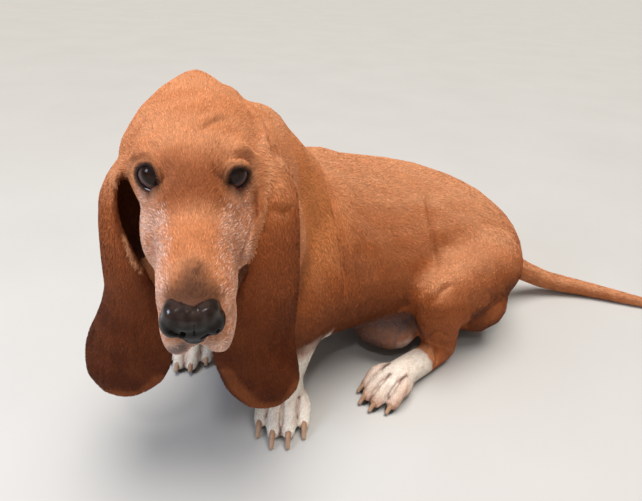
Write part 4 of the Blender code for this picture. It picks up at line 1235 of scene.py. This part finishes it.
LOOKED_AT = CAMERA_PLACE + Vector((0.02, 0, 0.04))
gaze = {side: (LOOKED_AT - eye_place[side]).normalized() for side in SIDES}
for side in SIDES:
    axes = gaze[side].to_track_quat("Z", "Y").to_matrix()
    points, faces = oval(eye_place[side], (EYE_RADIUS,) * 3, axes, 32)
    way, aside = off_gaze(points, side)
    points = points + way * (BULGE * (1 - eased(aside, 0.0, IRIS_RADIUS + 0.001)))[:, None]
    piece(f"eyeball_{side}", (points, faces), wet_finish, "eye", eye_colours(points, side),
          f"eye_{side}")
print("eyeball:", round(EYE_RADIUS * 2000, 1), "mm across")

# %% Lid edges, tears and haws
HAW_RED, HAW_PALE = (0.200, 0.045, 0.040), (0.420, 0.400, 0.560)
# Painted reflection: the tears' pale bluish white stands for the window light on the wet edge of
# the lid.
TEAR_GLINT = (0.60, 0.62, 0.74)
HAWS = {"right": ((157.0, 191.5), (0.0026, 0.0046, 0.0012), HAW_PALE),
        "left": ((236.0, 188.0), (0.0056, 0.0034, 0.0012), HAW_RED)}
TEARS = {"right": [(143.5, 188.5), (145.5, 190.8), (149, 192.6), (153, 193.0)],
         "left": [(236, 193.6), (240.5, 194.0), (245, 193.0)]}
for side in SIDES:
    edge = [p + (p - eye_place[side]).normalized() * 0.0008 for p in lid_loop[side]]
    piece(f"lid_edge_{side}", tube(edge, LID_RIM, 8, hoop=True), rim_finish, "eye", RIM)
    spot, radii, colour = HAWS[side]
    place = on_eye(side, *spot, 0.0016)
    axes = (place - eye_place[side]).normalized().to_track_quat("Z", "Y").to_matrix()
    points, faces = oval(place, radii, axes, 12)
    shades = painted(np.tile(colour, (len(points), 1)),
                     (0.3 + 0.3 * ripple(points, 0.0025, 14), DUSK))
    piece(f"haw_{side}", (points, faces), wet_finish, "eye", shades)
    tears = curved([on_eye(side, *spot, 0.0012) for spot in TEARS[side]])
    beads = 0.0007 * np.sin(np.linspace(0.25, math.pi - 0.25, len(tears)))
    # The tears carry a painted reflection of the window light.
    piece(f"tears_{side}", tube(tears, beads, 8), wet_finish, "eye", TEAR_GLINT)
print("haws:", len(HAWS))

# %% [markdown]
# ## The nose
# The leather of the nose is a broad pad with two wings, each curled round a nostril that opens
# to the side as a slit, and a groove down the middle to the lip. Egg-shaped forms are cast into
# one fine surface, and the nostrils and the groove are pressed into it with the same strokes as
# the folds.

# %% Cast the nose
NOSE_ASIDE, NOSE_VOXEL = -0.0015, 0.0007
NOSE_FORMS = [
    ((0.0, 0.0125, -0.0008), (0.0208, 0.0150, 0.0128)),
    ((0.0, 0.0075, -0.0095), (0.0160, 0.0098, 0.0150)),
    ((0.0, 0.0088, -0.0235), (0.0100, 0.0072, 0.0092)),
    *(((sign * x, y, z), radii) for (x, y, z), radii in (
        ((0.0150, 0.0110, -0.0075), (0.0096, 0.0125, 0.0130)),
        ((0.0120, 0.0130, 0.0008), (0.0100, 0.0130, 0.0112))) for sign in SIDES.values()),
]
nose, nose_quads = cast_as_one([oval(on_head(x + NOSE_ASIDE, y, z), radii, head_axes, 16)
                                for (x, y, z), radii in NOSE_FORMS], NOSE_VOXEL)
nose = spread(nose, edges_of(nose_quads), 24)
nose_tree = BVHTree.FromPolygons(nose.tolist(), nose_quads.tolist())


def on_nose(*places):
    """A path through places of the picture's frame, on the nose."""
    return [nose_tree.ray_cast(CAMERA_PLACE, sight(*spot))[0] for spot in places]


# Each stroke is its path, its lift and its width: the nostrils, the groove, and the wings' tops.
NOSTRILS = [
    (on_nose((179, 335), (182, 336), (185, 337)), -0.0075, 0.0030),
    (on_nose((168, 330), (172, 333), (176, 335), (180, 336)), -0.0022, 0.0012),
    (on_nose((202.5, 337), (206, 337), (210, 336)), -0.0075, 0.0032),
    (on_nose((220, 329), (216, 333), (212, 336), (208, 337)), -0.0022, 0.0012),
    (on_nose((194, 326), (194.3, 336), (194.5, 346)), -0.0014, 0.0008),
    (on_nose((176, 304), (184, 309), (190, 314)), 0.0008, 0.0040),
    (on_nose((213, 304), (206, 309), (200, 314)), 0.0008, 0.0040),
]
nose_out = normals_of(nose, nose_quads)
for path, lift, width in NOSTRILS:
    nose = nose + nose_out * stroke(nose, path, lift, width, 0.2)[:, None]
nose_finish = mottled("nose_leather", 0.4, 260.0, IOR=1.45, Specular_IOR_Level=0.12,
                      Coat_Roughness=0.15)
pebbles = nose_finish.node("ShaderNodeTexVoronoi", {"feature": "DISTANCE_TO_EDGE"},
                           {"Vector": nose_finish.where(), "Scale": 900.0})
nose_finish.set(Roughness=0.17 + 0.10 * nose_finish.noise(500.0),
                Coat_Weight=(nose_finish.colour_and_painted_light("Fac") - 0.0045) * 45.0)
nose_finish.bumped(pebbles, 0.00035, 0.5)
NOSE_TOP, NOSE_BLACK, NOSTRIL_SHADE = (0.040, 0.022, 0.017), (0.006, 0.004, 0.003), (0.002, 0.001, 0.001)
topside = eased(in_head(nose)[:, 2], -0.006, 0.012) * (0.7 + 0.3 * ripple(nose, 0.006, 15))
# Painted shade: the nostrils, their slits and the middle groove are painted darker than the leather
# round them.
nostril_shade = [(beside(nose, path, 1.2 * width), NOSTRIL_SHADE) for path, lift, width in NOSTRILS if lift < 0]
nose_colours = painted(np.tile(NOSE_BLACK, (len(nose), 1)), (topside, NOSE_TOP), *nostril_shade)
piece("nose_pad", (nose, nose_quads), nose_finish, "nose", nose_colours, "nose")
print("nose squares:", len(nose_quads))

# %% [markdown]
# ## Claws and pads
# A hound's claws are thick, blunt and curved down, of brownish horn that is paler where it is
# thin. Under each toe and under the middle of each foot is a pad of bare black leather.

# %% Claws
HORN, HORN_DARK, HORN_TIP = (0.520, 0.300, 0.180), (0.300, 0.150, 0.085), (0.620, 0.430, 0.290)
CLAW_THICK, CLAW_STEPS = 0.0046, 14
horn_finish = mottled("claw_horn", 0.35, 300.0, IOR=1.5)
horn_finish.set(Roughness=0.28 + 0.2 * horn_finish.noise(700.0))
horn_finish.bumped(horn_finish.noise(420.0), 0.0002)
CLAW_LENGTH = {"forepaw_left": 1.0, "forepaw_right": 0.66, "hindpaw_left": 0.85,
               "hindpaw_right": 0.9}
CLAW_BOW, CLAW_TAPER = 0.0040, 0.40


def claw(root, tip, size):
    """A curved claw from its root to its blunt tip."""
    share = np.linspace(-0.10, 1, CLAW_STEPS)[:, None]
    bow = np.array((0, 0, CLAW_BOW * size))
    path = np.array(root) + share * np.array(tip - root) + 4 * share * (1 - share) * bow
    thick = CLAW_THICK * size * (1 - CLAW_TAPER * np.clip(share[:, 0], 0, 1) ** 1.8)
    return tube(path, thick, 14)


for name in PAWS:
    nodes = [node for node in claw_span if node.startswith(name)]
    forms, shades = [], []
    for root, tip in (map(Vector, claw_span[node]) for node in nodes):
        tip = root + (tip - root) * CLAW_LENGTH[name]
        points, faces = claw(root, tip, PAWS[name][2])
        forms.append((points, faces))
        ahead = tip - root
        along = (points - np.array(root)) @ np.array(ahead.normalized()) / ahead.length
        shades.append(painted(np.tile(HORN, (len(points), 1)),
                              (1 - eased(along, 0.0, 0.5), HORN_DARK),
                              (eased(along, 0.65, 1.0) * 0.7, HORN_TIP),
                              (0.3 * ripple(points, 0.004, 16) + 0.1, HORN_DARK)))
    piece(f"claws_{name}", together(forms), horn_finish, "claw", np.vstack(shades), *nodes)
print("claws:", len(claw_span))

# %% Pads
PAD_BLACK = (0.020, 0.015, 0.014)
PAD_AHEAD = {"forepaw_left": -0.0040, "forepaw_right": -0.0010, "hindpaw_left": 0.0030,
             "hindpaw_right": -0.0040}
pad_finish = mottled("pad_leather", 0.5, 240.0, Roughness=0.55)
pad_finish.bumped(pad_finish.noise(800.0), 0.0005, 0.8)
TOE_PAD, HEEL_PAD = np.array((0.0068, 0.0100, 0.0056)), np.array((0.0170, 0.0130, 0.0060))
for name, (_, degrees, size) in PAWS.items():
    turn = np.array(Matrix.Rotation(math.radians(degrees - 90), 3, "Z"))
    forms = [oval(on_paw(name, 1.02 * x, y + PAD_AHEAD[name], 0.0055), TOE_PAD * size, turn, 10)
             for x, y in TOES]
    forms.append(oval(on_paw(name, 0, -0.012, 0.0058), HEEL_PAD * size, turn, 10))
    piece(f"pads_{name}", together(forms), pad_finish, "nose", PAD_BLACK)
print("pads:", 5 * len(PAWS))

# %% [markdown]
# ## The coat
# The hair of this breed is short, dense and lies flat, so each tuft is one thin tapered blade of
# three triangles, sunk in the skin at its root, bent over at half its length and laid down on the
# skin at its tip. A draw with a fixed seed spreads them over the skin's triangles.

# %% How the hair grows on each part
# Names: how many tufts for each square centimetre, length, width and lift of the tip.
HAIR = {
    "torso": (46, 0.0054, 0.00072, 0.0009), "neck": (46, 0.0056, 0.00074, 0.0009),
    "thigh": (46, 0.0054, 0.00074, 0.0009), "shoulder": (46, 0.0054, 0.00074, 0.0009),
    "tail": (46, 0.0070, 0.00085, 0.0011), "forearm": (48, 0.0056, 0.00072, 0.0009),
    "shank": (48, 0.0060, 0.00076, 0.0009), "head": (84, 0.0040, 0.00058, 0.0007),
    "ear": (56, 0.0050, 0.00068, 0.0007), "forepaw": (74, 0.0042, 0.00060, 0.0007),
    "hindpaw": (66, 0.0044, 0.00062, 0.0007),
}
COAT_SHARE = 1.0
draw = np.random.default_rng(11)

skin_hair = np.column_stack([
    spread(by_name(skin_names, {name: row[k] for name, row in HAIR.items()}, 0.0), skin_edges, 12)
    for k in range(4)])


def hair_roots():
    """Random places over the skin: the triangle and the three shares of its corners."""
    a, b, c = (skin_points[skin_faces[:, k]] for k in range(3))
    area = 0.5 * np.linalg.norm(np.cross(b - a, c - a), axis=1)
    wanted = area * 1e4 * skin_hair[skin_faces, 0].mean(1) * COAT_SHARE
    number = np.floor(wanted + draw.random(len(wanted))).astype(int)
    triangle = np.repeat(np.arange(len(skin_faces)), number)
    u, v = draw.random((2, len(triangle)))
    over = u + v > 1
    u[over], v[over] = 1 - u[over], 1 - v[over]
    return triangle, np.column_stack([1 - u - v, u, v])


root_triangle, root_shares = hair_roots()


def at_roots(values):
    """An amount of the skin's points, read at the tufts' roots."""
    corners = values[skin_faces[root_triangle]]
    if corners.ndim == 2:
        return np.sum(corners * root_shares, axis=1)
    return np.sum(corners * root_shares[:, :, None], axis=1)


roots = at_roots(skin_points)
out = unit(at_roots(skin_out))
nearest_corner = skin_faces[root_triangle, root_shares.argmax(1)]
root_names = skin_names[nearest_corner]
_, lengths, widths, lifts = at_roots(skin_hair).T
print("tufts drawn:", len(roots))

# %% Where no tuft grows
bare = lifts < 0.00025
bare |= off_face(roots) < 0.0013
bare |= (roots[:, 2] < 0.0045) & (out[:, 2] < 0.2)
bare |= np.isin(root_names, ["eye_left", "eye_right"])
bare |= (root_names == "nose") & (in_head(roots)[:, 2] < LEATHER_TOP)
bare |= bare_belly(roots) > draw.uniform(0.3, 1.2, len(roots))
for line in mouth_lines:
    bare |= beside(roots, line, 0.0024) > 0.5
grown = np.flatnonzero(~bare)
roots, out, lengths, widths, lifts = (v[grown] for v in (roots, out, lengths, widths, lifts))
root_triangle, root_shares, root_names = root_triangle[grown], root_shares[grown], root_names[grown]
print("tufts grown:", len(roots))

# %% Lay the blades down
WANDER, ROLL = 0.22, 0.30
ROOT_SUNK, BASE_WIDTH = 0.0005, 0.7

way = tangent(at_roots(skin_way), out)
turn = draw.normal(0, WANDER, len(roots)) + 0.25 * ripple(roots, 0.02, 8)
across = np.cross(out, way)
way = way * np.cos(turn)[:, None] + across * np.sin(turn)[:, None]
across = np.cross(out, way)
lengths = lengths * draw.uniform(0.75, 1.25, len(roots))
widths = widths * draw.uniform(0.75, 1.25, len(roots))


def laid_down(places, lift):
    """Places moved onto the skin and then lifted off it."""
    made = np.empty_like(places)
    for k, place in enumerate(map(Vector, places)):
        spot, facing, _, _ = skin_tree.find_nearest(place)
        made[k] = spot + facing * lift[k]
    return made


middle = laid_down(roots + way * (0.5 * lengths)[:, None],
                   0.85 * lifts * draw.uniform(0.7, 1.3, len(roots)))
tip = laid_down(roots + way * lengths[:, None], lifts * draw.uniform(0.6, 1.4, len(roots)))
roll = draw.normal(0, ROLL, len(roots))
flat = across * np.cos(roll)[:, None] + out * np.sin(roll)[:, None]
half = flat * (0.5 * widths)[:, None]
root_in, base = roots - out * ROOT_SUNK, BASE_WIDTH * half
blades = np.stack([root_in - base, root_in + base, middle + half, middle - half, tip], 1)
blades[:, :, 2] = np.maximum(blades[:, :, 2], FLOOR_GAP)
BLADE_CORNERS, BLADE_FACES = blades.shape[1], np.array([[0, 1, 2], [0, 2, 3], [3, 2, 4]])
print("longest tuft:", round(lengths.max() * 1000, 1), "mm")

# %% [markdown]
# ## Unwrapping the coat
# A baked picture needs a place for each tuft. The skin's shape is thinned to a few thousand
# triangles and unwrapped, and each tuft gets a tiny patch of that map, at the place of its root.

# %% Unwrap the shape of the skin
UNWRAP_TRIANGLES = 9000
PATCH = 0.003

shell = shown(skin.data.copy(), "shell")
thin = shell.modifiers.new("thin", "DECIMATE")
thin.ratio = UNWRAP_TRIANGLES / len(skin_faces)
applied(shell)
bpy.context.view_layer.objects.active = shell
shell.select_set(True)
bpy.ops.object.mode_set(mode="EDIT")
bpy.ops.mesh.select_all(action="SELECT")
bpy.ops.uv.smart_project(angle_limit=math.radians(66), island_margin=0.004)
bpy.ops.object.mode_set(mode="OBJECT")
shell_points, shell_faces = mesh_arrays(shell.data)
shell_loops = read(shell.data.loop_triangles, "loops", 3, np.int32)
shell_map = read(shell.data.uv_layers.active.data, "uv", 2)[shell_loops]
shell_tree = BVHTree.FromPolygons(shell_points.tolist(), shell_faces.tolist())
bpy.data.objects.remove(shell)
print("unwrapped triangles:", len(shell_faces))


def map_places(points):
    """Where each point lies on the unwrapped map."""
    found = [shell_tree.find_nearest(p) for p in map(Vector, points)]
    spots = np.array([f[0] for f in found])
    faces = np.array([f[2] for f in found])
    a, b, c = (shell_points[shell_faces[faces, k]] for k in range(3))
    normal = np.cross(b - a, c - a)
    whole = np.sum(normal * normal, axis=1)
    shares = np.column_stack([
        np.sum(np.cross(c - b, spots - b) * normal, axis=1) / whole,
        np.sum(np.cross(a - c, spots - c) * normal, axis=1) / whole,
        np.sum(np.cross(b - a, spots - a) * normal, axis=1) / whole])
    shares = np.clip(np.nan_to_num(shares, nan=1 / 3), 0, 1)
    shares /= np.maximum(shares.sum(1, keepdims=True), 1e-9)
    return np.sum(shell_map[faces] * shares[:, :, None], axis=1)


root_map = map_places(roots)
PATCH_CORNERS = PATCH * (np.array([[0.2, 0], [0.8, 0], [1, 0.5], [0, 0.5], [0.5, 1]]) - 0.5)

# %% Make the pieces of the coat
tuft_colours = markings(roots, root_names, out, draw.random(len(roots)))
tuft_tone = np.exp(draw.normal(0, 0.13, len(roots)))
tuft_colours = np.clip(tuft_colours * tuft_tone[:, None], 0, 0.95)
MOST_TUFTS = 62000


def coat_piece(name, some, slot):
    """One piece of the coat from the tufts with these numbers."""
    count = len(some)
    faces = (BLADE_FACES + BLADE_CORNERS * np.arange(count)[:, None, None]).reshape(-1, 3)
    mesh = mesh_from(name, blades[some].reshape(-1, 3), faces)
    marked(mesh, np.repeat(tuft_colours[some], BLADE_CORNERS, axis=0))
    places = root_map[some][:, None, :] + PATCH_CORNERS
    layer = mesh.uv_layers.new(name="OFBake")
    corners = places[:, BLADE_FACES].reshape(-1, 2)
    layer.data.foreach_set("uv", corners.astype(np.float32).ravel())
    kept(shown(mesh, name), coat_finish, slot)


PIECES = {"coat_head": ["head", "nose", "eye_left", "eye_right"], "coat_neck": ["neck"],
          "coat_torso": ["torso"], "coat_tail": ["tail"], "coat_ear_left": ["ear_left"],
          "coat_ear_right": ["ear_right"]}
for side in SIDES:
    for limb, parts in (("foreleg", ("shoulder", "forearm", "forepaw")),
                        ("hind_leg", ("thigh", "shank", "hindpaw"))):
        PIECES[f"coat_{limb}_{side}"] = [f"{part}_{side}" for part in parts]
total = 0
for name, parts in PIECES.items():
    some = np.flatnonzero(np.isin(root_names, parts))
    order = some[np.argsort(roots[some, 0], kind="stable")]
    lots = max(1, math.ceil(len(order) / MOST_TUFTS))
    for lot, share in enumerate(np.array_split(order, lots)):
        coat_piece(name if lots == 1 else f"{name}_{lot + 1}", share,
                   "ear" if name.startswith("coat_ear") else "coat")
        total += len(BLADE_FACES) * len(share)
print("coat triangles:", total)

# %% [markdown]
# ## Floor and light
# The model is seen on a plain pale floor under soft light, as in a bright workshop.

# %% The floor
floor_mesh = bpy.data.meshes.new("floor")
FLOOR_HALF = 60.0
floor_mesh.from_pydata([(x * FLOOR_HALF, y * FLOOR_HALF, 0.0) for x, y in
                        ((-1, -1), (1, -1), (1, 1), (-1, 1))], [], [(0, 1, 2, 3)])
floor = shown(floor_mesh, "floor")
floor_finish = Finish("pale_floor", Roughness=0.85)
floor_finish.set(Base_Color=floor_finish.mix(floor_finish.noise(3.0), (0.50, 0.49, 0.47),
                                             (0.56, 0.55, 0.53)))
floor.data.materials.append(floor_finish.material)


# %% The lights
def soft_light(name, place, aim, size, watts, colour):
    """A large square lamp that looks at a place."""
    lamp = bpy.data.lights.new(name, "AREA")
    lamp.size, lamp.energy, lamp.color = size, watts, colour
    obj = bpy.data.objects.new(name, lamp)
    bpy.context.scene.collection.objects.link(obj)
    obj.location = place
    obj.rotation_mode = "QUATERNION"
    obj.rotation_quaternion = (Vector(aim) - Vector(place)).to_track_quat("-Z", "Y")
    return obj


soft_light("window", (-1.5, -1.0, 1.2), (-0.2, -0.1, 0.25), 0.5, 13.0, (0.62, 0.76, 1.0))
soft_light("catchlight", (-0.30, -1.1, 1.5), (-0.3, -0.2, 0.35), 0.12, 3.4, (1.0, 0.98, 0.95))
fill = soft_light("fill", (0.9, -2.0, 1.6), (0, 0, 0.2), 1.8, 3.0, (1.0, 0.97, 0.94))
skylight = bpy.data.objects.new("skylight", bpy.data.lights.new("skylight", "SUN"))
skylight.data.energy, skylight.data.color = 3.7, (1.0, 0.97, 0.93)
skylight.data.angle = math.radians(45)
skylight.rotation_mode = "QUATERNION"
skylight.rotation_quaternion = Vector((-0.06, 0.02, -1.0)).to_track_quat("-Z", "Y")
bpy.context.scene.collection.objects.link(skylight)
for broad in (skylight, fill):
    broad.visible_glossy = False

world = bpy.data.worlds.new("studio")
bpy.context.scene.world = world
world.use_nodes = True
backdrop = world.node_tree.nodes["Background"].inputs
backdrop["Color"].default_value, backdrop["Strength"].default_value = (0.96, 0.90, 0.84, 1.0), 0.22
bpy.context.scene.view_settings.view_transform = "Standard"
